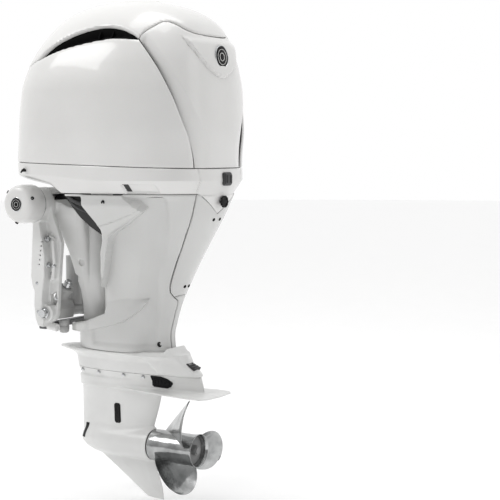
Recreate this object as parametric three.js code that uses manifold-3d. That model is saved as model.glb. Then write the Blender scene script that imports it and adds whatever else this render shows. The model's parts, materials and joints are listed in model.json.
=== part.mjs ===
// V6 outboard motor with a 25-inch leg, as separate solids that come apart on a bench.
// Millimetres. +X points aft, +Y to starboard, +Z up.
// The origin is the middle of the transom's top edge, on the face where the clamp brackets sit.
import * as THREE from 'three';
import { mergeVertices } from 'three/addons/utils/BufferGeometryUtils.js';
import Module from 'manifold-3d';

const wasm = await Module();
wasm.setup();

// ---- Driving dimensions -------------------------------------------------------------------
const GAP = 0.4;                 // clearance between pieces that touch
const TILT_Z = 75;               // height of the tilt axis, which runs along Y at x = 0
const KING_X = 155;              // steering axis, vertical
const DRIVE_X = 290;             // crankshaft and driveshaft axis, vertical
const PROP_Z = -845;             // propeller shaft axis, along X
const PLATE_Z = -635;            // underside of the anti-ventilation plate: a 25-inch leg
const SPLASH_Z = -484;           // top of the splash plate, under the apron
const CASE_Z = -566;             // joint between the upper case and the gearcase
const COWL_FLOOR_Z = 118;        // underside of the lower cowl, where the apron starts
const COWL_WALL = 6;
const APRON_WALL = 5;
const LOWER_PIN = [45, -345];    // x, z of the trim unit's cross tube
const UPPER_PIN = [46, -16];     // x, z of the tilt rod's upper pin
const CAP_RADIUS = 74;           // round ends of the steering actuator
const CLAMP_Y = [130, 148];      // inner and outer side of a clamp bracket's plate
const PAD_Y = [130, 190];        // inner and outer side of its pad on the transom
const BOLT_HALF_SPACING = 163.5; // standard transom bolt pattern, 327 mm wide
const PROP_RADIUS = 190;
const HUB_RADIUS = 60;
const HUB_X = [434, 638];        // front and rear end of the propeller hub
const TORPEDO_RADIUS = 60;
const TORPEDO_BORE = 50;
const GEAR_MODULE = 4;
const PINION_TEETH = 12;
const GEAR_TEETH = 21;
const FAR = 1200;                // larger than the whole object

// ---- Materials ----------------------------------------------------------------------------
function finish(color, roughness, metalness) {
  return new THREE.MeshStandardMaterial({ color, roughness, metalness });
}
const pearl = finish(0xe4e3e0, 0.22, 0.0);
const whiteMetal = finish(0xd9d9d7, 0.38, 0.1);
const blackPlastic = finish(0x17181a, 0.5, 0.0);
const rubber = finish(0x1d1d1e, 0.85, 0.0);
const castAluminium = finish(0x9c9fa2, 0.5, 0.9);
const steel = finish(0xa9adb0, 0.32, 1.0);
const stainless = finish(0xd0d3d6, 0.12, 1.0);
const bronze = finish(0xa8813f, 0.4, 1.0);
const zinc = finish(0x5c5f62, 0.7, 0.6);

// ---- Solids -------------------------------------------------------------------------------
function solid(geometry) {
  geometry.deleteAttribute('normal');
  geometry.deleteAttribute('uv');
  const merged = mergeVertices(geometry, 1e-4);
  const vertProperties = new Float32Array(merged.attributes.position.array);
  const triVerts = new Uint32Array(merged.index.array);
  return new wasm.Manifold(new wasm.Mesh({ numProp: 3, vertProperties, triVerts }));
}

function joined(...pieces) {
  return pieces.reduce((sum, piece) => sum.add(piece));
}

function cut(body, ...tools) {
  return tools.reduce((left, tool) => left.subtract(tool), body);
}

function box(x0, x1, y0, y1, z0, z1) {
  const geometry = new THREE.BoxGeometry(x1 - x0, y1 - y0, z1 - z0);
  geometry.translate((x0 + x1) / 2, (y0 + y1) / 2, (z0 + z1) / 2);
  return solid(geometry);
}

function rodX(y, z, radius, x0, x1, sides = 12) {
  const geometry = new THREE.CylinderGeometry(radius, radius, x1 - x0, sides);
  geometry.rotateZ(-Math.PI / 2);
  geometry.translate((x0 + x1) / 2, y, z);
  return solid(geometry);
}

function rodY(x, z, radius, y0, y1, sides = 12) {
  const geometry = new THREE.CylinderGeometry(radius, radius, y1 - y0, sides);
  geometry.translate(x, (y0 + y1) / 2, z);
  return solid(geometry);
}

function rodZ(x, y, radius, z0, z1, sides = 12) {
  const geometry = new THREE.CylinderGeometry(radius, radius, z1 - z0, sides);
  geometry.rotateX(Math.PI / 2);
  geometry.translate(x, y, (z0 + z1) / 2);
  return solid(geometry);
}

// A straight round bar between two points of the x-z plane at the height y.
function bar(from, to, y, radius, sides = 12) {
  const dx = to[0] - from[0];
  const dz = to[1] - from[1];
  const geometry = new THREE.CylinderGeometry(radius, radius, Math.hypot(dx, dz), sides);
  geometry.rotateX(Math.PI / 2);
  geometry.rotateY(Math.atan2(dx, dz));
  geometry.translate((from[0] + to[0]) / 2, y, (from[1] + to[1]) / 2);
  return solid(geometry);
}

// An outline of [x, z] points, extruded across the motor from y0 to y1.
function sidePlate(points, y0, y1) {
  const shape = new THREE.Shape(points.map(([x, z]) => new THREE.Vector2(x, z)));
  const geometry = new THREE.ExtrudeGeometry(shape, { depth: y1 - y0, bevelEnabled: false });
  geometry.rotateX(Math.PI / 2);
  geometry.translate(0, y1, 0);
  return solid(geometry);
}

// An outline of [x, half width] points from front to rear, mirrored across y = 0, from z0 to z1.
function planPlate(points, z0, z1) {
  const starboard = points.map(([x, y]) => new THREE.Vector2(x, y));
  const port = points.filter(([, y]) => y > 0).map(([x, y]) => new THREE.Vector2(x, -y)).reverse();
  const shape = new THREE.Shape([...starboard, ...port]);
  const geometry = new THREE.ExtrudeGeometry(shape, { depth: z1 - z0, bevelEnabled: false });
  geometry.translate(0, 0, z0);
  return solid(geometry);
}

// A body turned about the X axis from [x, radius] points, which start and end on that axis.
function turnedX(points, y, z, sides = 28) {
  const profile = points.map(([x, radius]) => new THREE.Vector2(radius, x));
  const geometry = new THREE.LatheGeometry(profile, sides);
  geometry.rotateZ(-Math.PI / 2);
  geometry.translate(0, y, z);
  return solid(geometry);
}

// A body through level sections, top first. Each section is
// [z, front x, widest x, rear x, half width, front exponent, rear exponent] of a superellipse.
function loft(sections, sides) {
  const geometry = new THREE.CylinderGeometry(1, 1, 1, sides, sections.length - 1);
  geometry.rotateX(Math.PI / 2);
  const position = geometry.attributes.position;
  for (let i = 0; i < position.count; i += 1) {
    const row = Math.round((0.5 - position.getZ(i)) * (sections.length - 1));
    const [z, xFront, xWide, xRear, halfWidth, nFront, nRear] = sections[row];
    const rim = Math.hypot(position.getX(i), position.getY(i));
    const cos = rim > 0.5 ? position.getX(i) / rim : 0;
    const sin = rim > 0.5 ? position.getY(i) / rim : 0;
    const reach = cos >= 0 ? xRear - xWide : xWide - xFront;
    const power = 2 / (cos >= 0 ? nRear : nFront);
    const x = xWide + Math.sign(cos) * reach * Math.abs(cos) ** power;
    const y = Math.sign(sin) * halfWidth * Math.abs(sin) ** power;
    position.setXYZ(i, x, y, z);
  }
  return solid(geometry);
}

function inset(sections, wall) {
  return sections.map(([z, xFront, xWide, xRear, halfWidth, nFront, nRear]) => (
    [z, xFront + wall, xWide, xRear - wall, halfWidth - wall, nFront, nRear]));
}

// The cutter and four copies of it, moved by the clearance in x and z.
function grown(cutter) {
  const moves = [[GAP, GAP], [GAP, -GAP], [-GAP, GAP], [-GAP, -GAP]];
  return joined(cutter, ...moves.map(([x, z]) => cutter.translate([x, 0, z])));
}

// ---- The finished group -------------------------------------------------------------------
const motor = new THREE.Group();

function add(name, body, material) {
  const mesh = body.getMesh();
  const geometry = new THREE.BufferGeometry();
  geometry.setAttribute('position', new THREE.BufferAttribute(new Float32Array(mesh.vertProperties), 3));
  geometry.setIndex(new THREE.BufferAttribute(new Uint32Array(mesh.triVerts), 1));
  geometry.computeVertexNormals();
  const node = new THREE.Mesh(geometry, material);
  node.name = name;
  motor.add(node);
}

// Calls build(-1, 'port') and build(1, 'starboard').
function bothSides(build) {
  build(-1, 'port');
  build(1, 'starboard');
}

function span(side, inner, outer) {
  return side > 0 ? [inner, outer] : [-outer, -inner];
}

// ---- Clamp brackets and what is fixed to the boat -----------------------------------------
const CLAMP_OUTLINE = [
  [-60, 0], [-60, 16], [-30, 62], [-52, 90], [-38, 120], [0, 135], [38, 120], [58, 90],
  [62, 40], [88, -60], [98, -190], [90, -300], [80, -345], [66, -375], [36, -383],
  [29, -225], [-12.8, -204.8], [0, 0],
];
const PAD_OUTLINE = [[0, 16], [0, 0], [-12.8, -204.8], [0, -209], [16, 0], [16, 16]];
// A transom bolt's hole: 12.8 mm across its flats.
const BOLT_HOLE = [
  [6.4, 2.72], [2.72, 6.4], [-2.72, 6.4], [-6.4, 2.72],
  [-6.4, -2.72], [-2.72, -6.4], [2.72, -6.4], [6.4, -2.72],
];
function boltHole(y, z) {
  const shape = new THREE.Shape(BOLT_HOLE.map(([u, v]) => new THREE.Vector2(u, v)));
  const geometry = new THREE.ExtrudeGeometry(shape, { depth: 160, bevelEnabled: false });
  geometry.rotateY(Math.PI / 2);
  geometry.translate(-60, y, z);
  return solid(geometry);
}

bothSides((side, name) => {
  const plate = sidePlate(CLAMP_OUTLINE, ...span(side, ...CLAMP_Y));
  const boss = rodY(0, TILT_Z, 60, ...span(side, ...PAD_Y), 24);
  const pad = sidePlate(PAD_OUTLINE, ...span(side, ...PAD_Y));
  const hook = box(-60, 8, ...span(side, ...PAD_Y), 0, 15);
  const foot = rodY(...LOWER_PIN, 34, ...span(side, 130, 170));
  const cornerRelief = box(-6, 0, ...span(side, 120, 200), -1, 3);
  const bolts = [-60, -160].map((z) => boltHole(side * BOLT_HALF_SPACING, z));
  add(`clamp_bracket_${name}`, cut(
    joined(plate, boss, pad, hook, foot),
    rodY(0, TILT_Z, 46, ...span(side, 100, 220), 24),
    rodY(...LOWER_PIN, 16.5, ...span(side, 100, 220)),
    cornerRelief,
    ...bolts,
  ), whiteMetal);
  add(`tilt_bush_${name}`, cut(
    rodY(0, TILT_Z, 45.2, ...span(side, ...PAD_Y), 24),
    rodY(0, TILT_Z, 39, ...span(side, 120, 200), 24),
  ), bronze);
});

add('lower_pivot_tube', rodY(...LOWER_PIN, 16, -196, 196), stainless);
add('bracket_anode', cut(
  box(-2, 34, -160, 160, -412, -386),
  box(8, 24, -150, 150, -420, -406),
), zinc);

// Trim unit: a base block with two sloping ram bores and a slot for the tilt cylinder between.
const RAM_Y = 82;
const RAM_FOOT = [30, -330];      // where a ram's axis meets the bottom of its bore
const RAM_SLOPE = [0.5, Math.sqrt(0.75)];
function alongRam(distance) {
  return [RAM_FOOT[0] + RAM_SLOPE[0] * distance, RAM_FOOT[1] + RAM_SLOPE[1] * distance];
}
function trimUnit() {
  const block = sidePlate([[12, -380], [82, -380], [86, -330], [70, -302], [14, -310]], -127, 127);
  const towers = [-RAM_Y, RAM_Y].map((y) => bar(alongRam(-30), alongRam(92), y, 27));
  const bores = [-RAM_Y, RAM_Y].map((y) => bar(alongRam(20), alongRam(110), y, 17.5));
  return cut(
    joined(block, ...towers),
    ...bores,
    box(-10, 120, -40, 40, -372, -200),
    rodY(...LOWER_PIN, 16.5, -140, 140),
  );
}
add('trim_unit', trimUnit(), whiteMetal);
add('trim_motor', rodZ(62, -82, 24, -448, -380.4), blackPlastic);
bothSides((side, name) => {
  add(`trim_ram_${name}`, joined(
    bar(alongRam(26), alongRam(112), side * RAM_Y, 17),
    bar(alongRam(112), alongRam(120), side * RAM_Y, 12),
  ), stainless);
});

// Tilt cylinder and rod, along the line between the two pins.
const TILT_SPAN = Math.hypot(UPPER_PIN[0] - LOWER_PIN[0], UPPER_PIN[1] - LOWER_PIN[1]);
function alongTilt(distance) {
  const t = distance / TILT_SPAN;
  return [0, 1].map((k) => LOWER_PIN[k] + (UPPER_PIN[k] - LOWER_PIN[k]) * t);
}
add('tilt_cylinder', cut(
  joined(rodY(...LOWER_PIN, 25, -36, 36), bar(alongTilt(18), alongTilt(210), 0, 31, 18)),
  bar(alongTilt(34), alongTilt(240), 0, 12.5),
  rodY(...LOWER_PIN, 17, -60, 60),
), whiteMetal);
add('tilt_rod', joined(
  bar(alongTilt(40), alongTilt(TILT_SPAN - 6), 0, 12),
  rodY(...UPPER_PIN, 15, -16, 16),
  rodY(...UPPER_PIN, 8, -57, 57),
), stainless);

// ---- Swivel bracket, steering actuator ----------------------------------------------------
const HOUSING_RADIUS = 62;
const HOUSING_BORE = 51;
const TUBE_TOP = 60;
const TUBE_BOTTOM = -385;
function swivelBracket() {
  const housing = rodY(0, TILT_Z, HOUSING_RADIUS, -124, 124, 24);
  const tube = rodZ(KING_X, 0, 56, TUBE_BOTTOM, TUBE_TOP, 24);
  const cheekOutline = [
    [-20, 30], [20, 58], [KING_X, 58], [KING_X, -230], [120, -230], [60, -60], [20, 10],
  ];
  const cheeks = [-1, 1].map((side) => sidePlate(cheekOutline, ...span(side, 44, 58)));
  const ramPads = sidePlate([[104, -226], [128, -226], [128, -168], [112, -168]], -104, 104);
  const pinPaths = [-1, 1].map((side) => (
    rodY(UPPER_PIN[0] - 5, UPPER_PIN[1] + 9, 24, ...span(side, 20, 60))));
  const railOutline = [[78, -20], [104, -20], [128, -230], [110, -230]];
  const rails = [-1, 1].map((side) => sidePlate(railOutline, ...span(side, 44, 58)));
  return cut(
    joined(housing, tube, ...cheeks, ...rails, ramPads),
    rodY(0, TILT_Z, HOUSING_BORE, -140, 140, 24),
    rodZ(KING_X, 0, 36, -500, 100, 20),
    box(-14, 14, -104, 104, TILT_Z + 30, TILT_Z + 90),
    box(-70, 96, -42, 42, -400, 4),
    ...pinPaths,
  );
}
add('swivel_bracket', swivelBracket(), whiteMetal);
bothSides((side, name) => {
  const stub = rodY(0, TILT_Z, 38.5, ...span(side, 124.5, 194), 24);
  const disc = new THREE.CylinderGeometry(CAP_RADIUS, CAP_RADIUS, 66, 28);
  disc.translate(0, side * 225, TILT_Z);
  const dome = new THREE.CylinderGeometry(CAP_RADIUS - 14, CAP_RADIUS, 22, 28);
  dome.rotateX(side > 0 ? 0 : Math.PI);
  dome.translate(0, side * 268.9, TILT_Z);
  const screwBore = rodY(0, TILT_Z, 10.5, ...span(side, 100, 160));
  add(`steering_cap_${name}`, cut(joined(stub, solid(disc), solid(dome)), screwBore), pearl);
});
add('steering_screw', joined(
  rodY(0, TILT_Z, 9.5, -158, 158),
  ...[-118, 118].map((y) => rodY(0, TILT_Z, 20, y - 4, y + 4)),
), steel);
add('steering_nut', cut(
  joined(rodY(0, TILT_Z, 34, -22, 22), rodZ(0, 0, 7, TILT_Z + 20, 152, 10)),
  rodY(0, TILT_Z, 10.2, -40, 40),
), bronze);

function ringZ(x, y, inner, outer, z0, z1, sides = 20) {
  return cut(rodZ(x, y, outer, z0, z1, sides), rodZ(x, y, inner, z0 - 1, z1 + 1, sides));
}
add('swivel_bush_upper', ringZ(KING_X, 0, 31, 35, TUBE_TOP - 60, TUBE_TOP), bronze);
add('swivel_bush_lower', ringZ(KING_X, 0, 31, 35, TUBE_BOTTOM, TUBE_BOTTOM + 60), bronze);

// Tilt support lever: swings down to hold the motor up in storage.
const LEVER_PIVOT = [75, 20];
add('tilt_support_lever', joined(
  rodY(...LEVER_PIVOT, 12, 59, 74),
  sidePlate([[68, 12], [86, 14], [100, -70], [84, -74]], 62, 72),
  rodY(92, -74, 12, 59, 74),
), whiteMetal);

// ---- Steering arm, mounts -----------------------------------------------------------------
const ARM_Z = [141, 157];
function steeringArm() {
  const pin = rodZ(KING_X, 0, 30, -428, ARM_Z[1], 20);
  const hub = rodZ(KING_X, 0, 40, TUBE_TOP + 2, ARM_Z[1], 20);
  const arm = planPlate([[-40, 0], [-40, 20], [40, 22], [KING_X, 39], [KING_X + 1, 0]], ...ARM_Z);
  const fork = box(-60, 22, -12, 12, ARM_Z[0] - 1, ARM_Z[1] + 1);
  const yoke = box(176, 196, -95, 95, TUBE_TOP + 2, 110);
  const neck = box(KING_X, 180, -40, 40, TUBE_TOP + 2, 110);
  return cut(joined(pin, hub, arm, yoke, neck), fork);
}
add('steering_arm', steeringArm(), whiteMetal);
add('upper_mount', box(196.4, 227.6, -88, 88, 66, 104), rubber);
add('lower_yoke', cut(
  joined(rodZ(KING_X, 0, 40, -430, -390, 20), box(KING_X, 196, -40, 40, -430, -390)),
  rodZ(KING_X, 0, 30.4, -440, -380, 20),
), whiteMetal);
add('lower_mount', box(196.4, 227.6, -48, 48, -432, -388), rubber);

// ---- Upper case ---------------------------------------------------------------------------
const COLUMN = [
  [104, 228, 350, 480, 75, 4, 3],
  [-300, 228, 350, 472, 66, 4, 2.6],
  [SPLASH_Z - 1, 228, 350, 478, 60, 4, 2.4],
];
const SKIRT = [
  [-498, 62, 300, 566, 84, 2, 2],
  [-520, 66, 300, 592, 68, 2, 2],
  [-538, 68, 300, 630, 64, 2, 2],
  [CASE_Z, 72, 300, 648, 60, 2, 2],
];
const SPLASH_PLAN = [
  [-19, 0], [-4, 22], [60, 52], [180, 86], [300, 100], [440, 99], [530, 76], [572, 34], [582, 0],
];
function upperCase() {
  const flange = planPlate([[228, 0], [228, 108], [470, 112], [492, 60], [492, 0]], 86, 103.6);
  const heel = sidePlate(
    [[430, SPLASH_Z - 4], [430, SPLASH_Z], [519, -475.5], [533, -459.5], [594, -522], [500, -530]],
    -52, 52);
  const cavity = joined(
    loft(inset([[120, ...COLUMN[0].slice(1)], COLUMN[1], COLUMN[2]], 9), 16),
    loft(inset([[-484, 150, 300, 500, 60, 2.4, 2.4], [-580, 150, 300, 560, 52, 2.4, 2.4]], 9), 16),
  );
  return cut(
    joined(loft(COLUMN, 20), loft(SKIRT, 24), planPlate(SPLASH_PLAN, -500, SPLASH_Z), heel, flange),
    cavity,
  );
}
add('upper_case', upperCase(), whiteMetal);

// ---- Apron --------------------------------------------------------------------------------
const APRON = [
  [COWL_FLOOR_Z - GAP, 60, 304, 745, 266, 3.5, 2.5],
  [40, 62, 304, 718, 225, 3, 2.4],
  [-40, 64, 302, 678, 192, 3, 2.3],
  [-120, 66, 300, 636, 166, 3, 2.2],
  [-200, 70, 298, 597, 146, 3, 2.1],
  [-280, 76, 296, 561, 128, 3, 2],
  [-360, 84, 295, 535, 113, 2.4, 2],
  [-420, 90, 295, 522, 103, 2, 2],
  [SPLASH_Z + GAP, 90, 295, 528, 96, 2, 2],
];
// Front edge of the apron: forward of it the swivel bracket is open to view, down to the toe.
const APRON_FRONT = [
  [-100, 200], [205, 200], [211, 112], [235, 66], [280, -9], [285, -90], [282, -384], [-100, -384],
];
const APRON_FOOT = [[440, -500], [440, -484], [519, -474], [536, -455], [620, -455], [620, -500]];
function apron() {
  const outer = loft(APRON, 32);
  const innerRows = [[140, ...APRON[0].slice(1)], ...APRON.slice(1, -1), [-500, ...APRON[8].slice(1)]];
  const front = sidePlate(APRON_FRONT, -300, 300);
  const foot = sidePlate(APRON_FOOT, -200, 200);
  return cut(outer, loft(inset(innerRows, APRON_WALL), 32), front, foot);
}
// Looking forward at the rear face, the separate panel narrows from top to bottom.
function rearWedge(margin) {
  const shape = new THREE.Shape([
    new THREE.Vector2(-108 - margin, 160),
    new THREE.Vector2(-104 - margin, 32),
    new THREE.Vector2(-60 - margin, -227),
    new THREE.Vector2(-44 - margin, -500),
    new THREE.Vector2(44 + margin, -500),
    new THREE.Vector2(60 + margin, -227),
    new THREE.Vector2(104 + margin, 32),
    new THREE.Vector2(108 + margin, 160),
  ]);
  const geometry = new THREE.ExtrudeGeometry(shape, { depth: 400, bevelEnabled: false });
  geometry.rotateX(Math.PI / 2);
  geometry.rotateZ(Math.PI / 2);
  geometry.translate(440, 0, 0);
  return solid(geometry);
}
const FLUSH = { y: 0, z: 92 };    // flushing connector at the top of the rear panel
const apronShell = apron();
add('apron_port', cut(apronShell, rearWedge(0), box(-FAR, FAR, -GAP / 2, FAR, -FAR, FAR)), pearl);
add('apron_starboard', cut(apronShell, rearWedge(0), box(-FAR, FAR, -FAR, GAP / 2, -FAR, FAR)), pearl);
add('apron_rear_panel', cut(
  apronShell.intersect(rearWedge(-GAP)),
  rodX(FLUSH.y, FLUSH.z, 8.4, 700, 780),
), pearl);

// ---- Lower cowl ---------------------------------------------------------------------------
// The joint with the top cowl falls slightly from front to rear.
const SEAM_Z = [236, 212];
const SEAM_X = [-90, 790];
const LOWER_COWL = [
  [240, -59, 304, 746, 314, 4, 3],
  [170, -57, 304, 749, 300, 4, 2.8],
  [COWL_FLOOR_Z, -50, 304, 745, 268, 3.5, 2.5],
];
const UNDERSIDE = [[-80, 196], [-60, 193], [30, 180], [120, 163], [178, 152], [215, COWL_FLOOR_Z]];
function aboveSeam(offset) {
  return sidePlate([
    [SEAM_X[0], SEAM_Z[0] + offset], [SEAM_X[1], SEAM_Z[1] + offset],
    [SEAM_X[1], FAR], [SEAM_X[0], FAR],
  ], -400, 400);
}
function belowUnderside(offset) {
  const edge = UNDERSIDE.map(([x, z]) => [x, z + offset]);
  return sidePlate([...edge, [215, -50], [-80, -50]], -400, 400);
}
function lowerCowl() {
  const outer = cut(loft(LOWER_COWL, 36), aboveSeam(-2), belowUnderside(0));
  const innerRows = [
    [260, ...LOWER_COWL[0].slice(1)],
    LOWER_COWL[1],
    [COWL_FLOOR_Z + COWL_WALL, ...LOWER_COWL[2].slice(1)],
  ];
  const inner = cut(loft(inset(innerRows, COWL_WALL), 36), belowUnderside(COWL_WALL));
  const guideHole = box(205, 500, -125, 125, 100, 140);
  const armHole = box(100, 210, -112, 112, 100, 165);
  return cut(outer, inner, guideHole, armHole);
}
// One cowl latch turns on the rear face and one on the port side near the front.
const REAR_LATCH = { y: 20, z: 174, half: [26, 18] };
const FRONT_LATCH = { x: 60, z: 204 };
add('lower_cowl', cut(
  lowerCowl(),
  rodX(REAR_LATCH.y, REAR_LATCH.z, 6.4, 700, 780),
  rodY(FRONT_LATCH.x, FRONT_LATCH.z, 8.4, -330, -260),
), pearl);

// A latch: a handle outside, a round axle through the wall and a cam inside.
add('cowl_latch_rear', joined(
  box(752, 760, REAR_LATCH.y - REAR_LATCH.half[0], REAR_LATCH.y + REAR_LATCH.half[0],
    REAR_LATCH.z - REAR_LATCH.half[1], REAR_LATCH.z + REAR_LATCH.half[1]),
  rodX(REAR_LATCH.y, REAR_LATCH.z, 6, 716, 754),
  box(712, 720, REAR_LATCH.y - 18, REAR_LATCH.y + 18, REAR_LATCH.z - 6, REAR_LATCH.z + 6),
), whiteMetal);
add('cowl_latch_front', joined(
  rodY(FRONT_LATCH.x, FRONT_LATCH.z, 8, -306, -264),
  box(FRONT_LATCH.x - 16, FRONT_LATCH.x + 16, -312, -304, FRONT_LATCH.z - 9, FRONT_LATCH.z + 9),
  box(FRONT_LATCH.x - 8, FRONT_LATCH.x + 8, -272, -264, FRONT_LATCH.z - 8, FRONT_LATCH.z + 16),
), whiteMetal);
add('flush_plug', joined(
  rodX(FLUSH.y, FLUSH.z, 8, 716, 748),
  rodX(FLUSH.y, FLUSH.z, 20, 746.5, 756, 20),
), blackPlastic);

// ---- Top cowl -----------------------------------------------------------------------------
const TOP_COWL = [
  [836, 330, 392, 440, 26, 2.2, 2.2],
  [826, 189, 385, 473, 70, 2.3, 2.3],
  [808, 145, 370, 553, 130, 2.4, 2.4],
  [776, 94, 350, 634, 185, 2.5, 2.5],
  [733, 58, 335, 687, 230, 2.7, 2.6],
  [666, 11, 320, 721, 272, 2.9, 2.7],
  [587, -25, 310, 736, 300, 3.2, 2.9],
  [495, -41, 304, 747, 316, 3.6, 3],
  [366, -44, 304, 752, 320, 4, 3],
  [229, -59, 304, 746, 314, 4, 3],
];
const SIDE_SEAM = [[548, 674], [601, 615], [645, 553], [682, 475], [710, 381], [724, 302], [729, 190]];
const HOOD_SEAM = [[548, 674], [558, 694], [581, 717], [609, 738], [641, 730], [684, 705], [704, 690]];
const INTAKE_TOP = [[109, 615], [160, 655], [217, 687], [320, 724], [384, 731], [450, 728], [548, 674]];
const INTAKE_BOTTOM = [[109, 615], [235, 651], [401, 678], [494, 679], [548, 674]];
function topCowlShell() {
  const foot = TOP_COWL[TOP_COWL.length - 1].slice(1);
  const outerRows = [...TOP_COWL.slice(0, -1), [200, ...foot]];
  const innerRows = outerRows.map(([z, ...rest]) => [z > 700 ? z - COWL_WALL : z - 1, ...rest]);
  const shell = cut(loft(outerRows, 36), loft(inset(innerRows, COWL_WALL), 24));
  return shell.intersect(aboveSeam(0));
}
const cowlShell = topCowlShell();
const rearCutter = sidePlate(
  [...SIDE_SEAM, [820, 190], [820, 860], [704, 860], ...HOOD_SEAM.slice(1).reverse()], -400, 400);
const intakeCutter = sidePlate([...INTAKE_TOP, ...INTAKE_BOTTOM.slice(1, -1).reverse()], -400, 400);
const hoodCutter = sidePlate([
  [-120, 552], [-36, 556], ...INTAKE_TOP, ...HOOD_SEAM.slice(1), [704, 860], [-120, 860],
], -400, 400);
add('top_cowl', cut(cowlShell, grown(rearCutter), grown(intakeCutter), grown(hoodCutter)), pearl);
const seamCorner = box(546, 550, -400, 400, 672, 676);
add('hood_panel', cut(
  cowlShell.intersect(hoodCutter), grown(rearCutter), grown(intakeCutter), seamCorner,
), pearl);
add('rear_cowl_panel', cut(cowlShell.intersect(rearCutter), grown(intakeCutter)), pearl);
bothSides((side, name) => {
  const half = box(-FAR, FAR, ...span(side, 0, 400), -FAR, FAR);
  add(`air_intake_${name}`, cowlShell.intersect(intakeCutter).intersect(half), blackPlastic);
});
const SEAL = [[234, -50, 304, 738, 300, 4, 3], [202, -50, 304, 738, 300, 4, 3]];
const SEAL_HOLE = [[240, ...SEAL[0].slice(1)], [190, ...SEAL[0].slice(1)]];
add('cowl_seal', cut(
  loft(inset(SEAL, COWL_WALL + 2 * GAP), 28),
  loft(inset(SEAL_HOLE, COWL_WALL + 8), 28),
  box(FRONT_LATCH.x - 20, FRONT_LATCH.x + 20, -330, -240, 190, 224),
  box(700, 760, REAR_LATCH.y - 30, REAR_LATCH.y + 30, 150, 212),
), rubber);

// ---- Engine -------------------------------------------------------------------------------
const BLOCK_Z = [150, 600];
const BANK_ANGLE = Math.PI / 6;
// A box that starts at the crankshaft axis and points along one cylinder bank.
function bankBox(side, from, to, halfWidth, z0, z1) {
  const geometry = new THREE.BoxGeometry(to - from, 2 * halfWidth, z1 - z0);
  geometry.translate((from + to) / 2, 0, (z0 + z1) / 2);
  geometry.rotateZ(side * BANK_ANGLE);
  geometry.translate(DRIVE_X, 0, 0);
  return solid(geometry);
}
function crankCavity() {
  return joined(
    rodZ(DRIVE_X, 0, 72, BLOCK_Z[0] + 20, BLOCK_Z[1] - 20, 20),
    rodZ(DRIVE_X, 0, 27.6, BLOCK_Z[0] - 10, BLOCK_Z[1] + 10),
  );
}
add('cylinder_block', cut(
  joined(
    box(DRIVE_X + GAP, DRIVE_X + 90, -100, 100, ...BLOCK_Z),
    bankBox(-1, 60, 240, 62, ...BLOCK_Z),
    bankBox(1, 60, 240, 62, ...BLOCK_Z),
  ),
  crankCavity(),
  box(0, DRIVE_X + GAP, -300, 300, 0, FAR),
), castAluminium);
add('crankcase', cut(box(212, DRIVE_X, -100, 100, ...BLOCK_Z), crankCavity()), castAluminium);
bothSides((side, name) => {
  add(`cylinder_head_${name}`, cut(joined(
    bankBox(side, 240.4, 320, 72, BLOCK_Z[0] + 10, BLOCK_Z[1] - 10),
    bankBox(side, 320, 348, 58, BLOCK_Z[0] + 25, BLOCK_Z[1] - 25),
  ), box(0, FAR, ...span(-side, -10, 300), 0, FAR)), castAluminium);
});
add('exhaust_guide', cut(
  planPlate([[228, 0], [228, 118], [482, 118], [482, 0]], 104, BLOCK_Z[0] - GAP),
  rodZ(DRIVE_X, 0, 30, 90, 160),
  box(350, 440, -50, 50, 90, 160),
), castAluminium);
function intakeManifold() {
  const plenum = box(40, 130, -150, 150, 280, 560);
  const runners = [-1, 1].map((side) => sidePlate([
    [100, 300], [330, 300], [330, 540], [100, 540],
  ], ...span(side, 108, 150)));
  return cut(joined(plenum, ...runners), box(60, 110, -60, 60, 270, 300), box(50, 120, -140, 140, 296, 548));
}
add('intake_manifold', intakeManifold(), blackPlastic);

function crankshaft() {
  const throwAngles = [0, 1, 2].map((k) => (k * 2 * Math.PI) / 3);
  const throws = throwAngles.map((angle, k) => {
    const x = DRIVE_X + 32 * Math.cos(angle);
    const y = 32 * Math.sin(angle);
    const z = BLOCK_Z[0] + 60 + k * 125;
    return joined(
      rodZ(x, y, 24, z, z + 80, 12),
      rodZ(DRIVE_X, 0, 62, z - 14, z + 8),
      rodZ(DRIVE_X, 0, 62, z + 72, z + 94),
    );
  });
  return cut(
    joined(rodZ(DRIVE_X, 0, 26, 112, 668), ...throws),
    rodZ(DRIVE_X, 0, 11.4, 100, 150, 16),
  );
}
add('crankshaft', crankshaft(), steel);
add('flywheel', cut(
  joined(rodZ(DRIVE_X, 0, 132, 622, 648, 28), rodZ(DRIVE_X, 0, 60, 610, 666)),
  rodZ(DRIVE_X, 0, 26.4, 600, 680),
  cut(rodZ(DRIVE_X, 0, 118, 636, 660, 28), rodZ(DRIVE_X, 0, 59, 630, 670)),
), steel);

// ---- Driveshaft, water pump, shift rod ----------------------------------------------------
add('driveshaft', rodZ(DRIVE_X, 0, 11, -817, 148, 12), stainless);
const PUMP_Z = [CASE_Z + 6, -512];
add('water_pump_housing', cut(
  rodZ(DRIVE_X, 0, 40, ...PUMP_Z),
  rodZ(DRIVE_X, 0, 34, PUMP_Z[0] + 7, PUMP_Z[1] - 7),
  rodZ(DRIVE_X, 0, 13, PUMP_Z[0] - 5, PUMP_Z[1] + 5),
), blackPlastic);
function impeller() {
  const vanes = [0, 1, 2, 3, 4, 5].map((k) => {
    const geometry = new THREE.BoxGeometry(18, 3, 34);
    geometry.translate(23, 0, (PUMP_Z[0] + PUMP_Z[1]) / 2);
    geometry.rotateZ((k * Math.PI) / 3);
    geometry.translate(DRIVE_X, 0, 0);
    return solid(geometry);
  });
  const hub = rodZ(DRIVE_X, 0, 17, PUMP_Z[0] + 10, PUMP_Z[1] - 10);
  return cut(joined(hub, ...vanes), rodZ(DRIVE_X, 0, 11.4, PUMP_Z[0], PUMP_Z[1], 16));
}
add('impeller', impeller(), rubber);
const SHIFT_X = 215;
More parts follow.
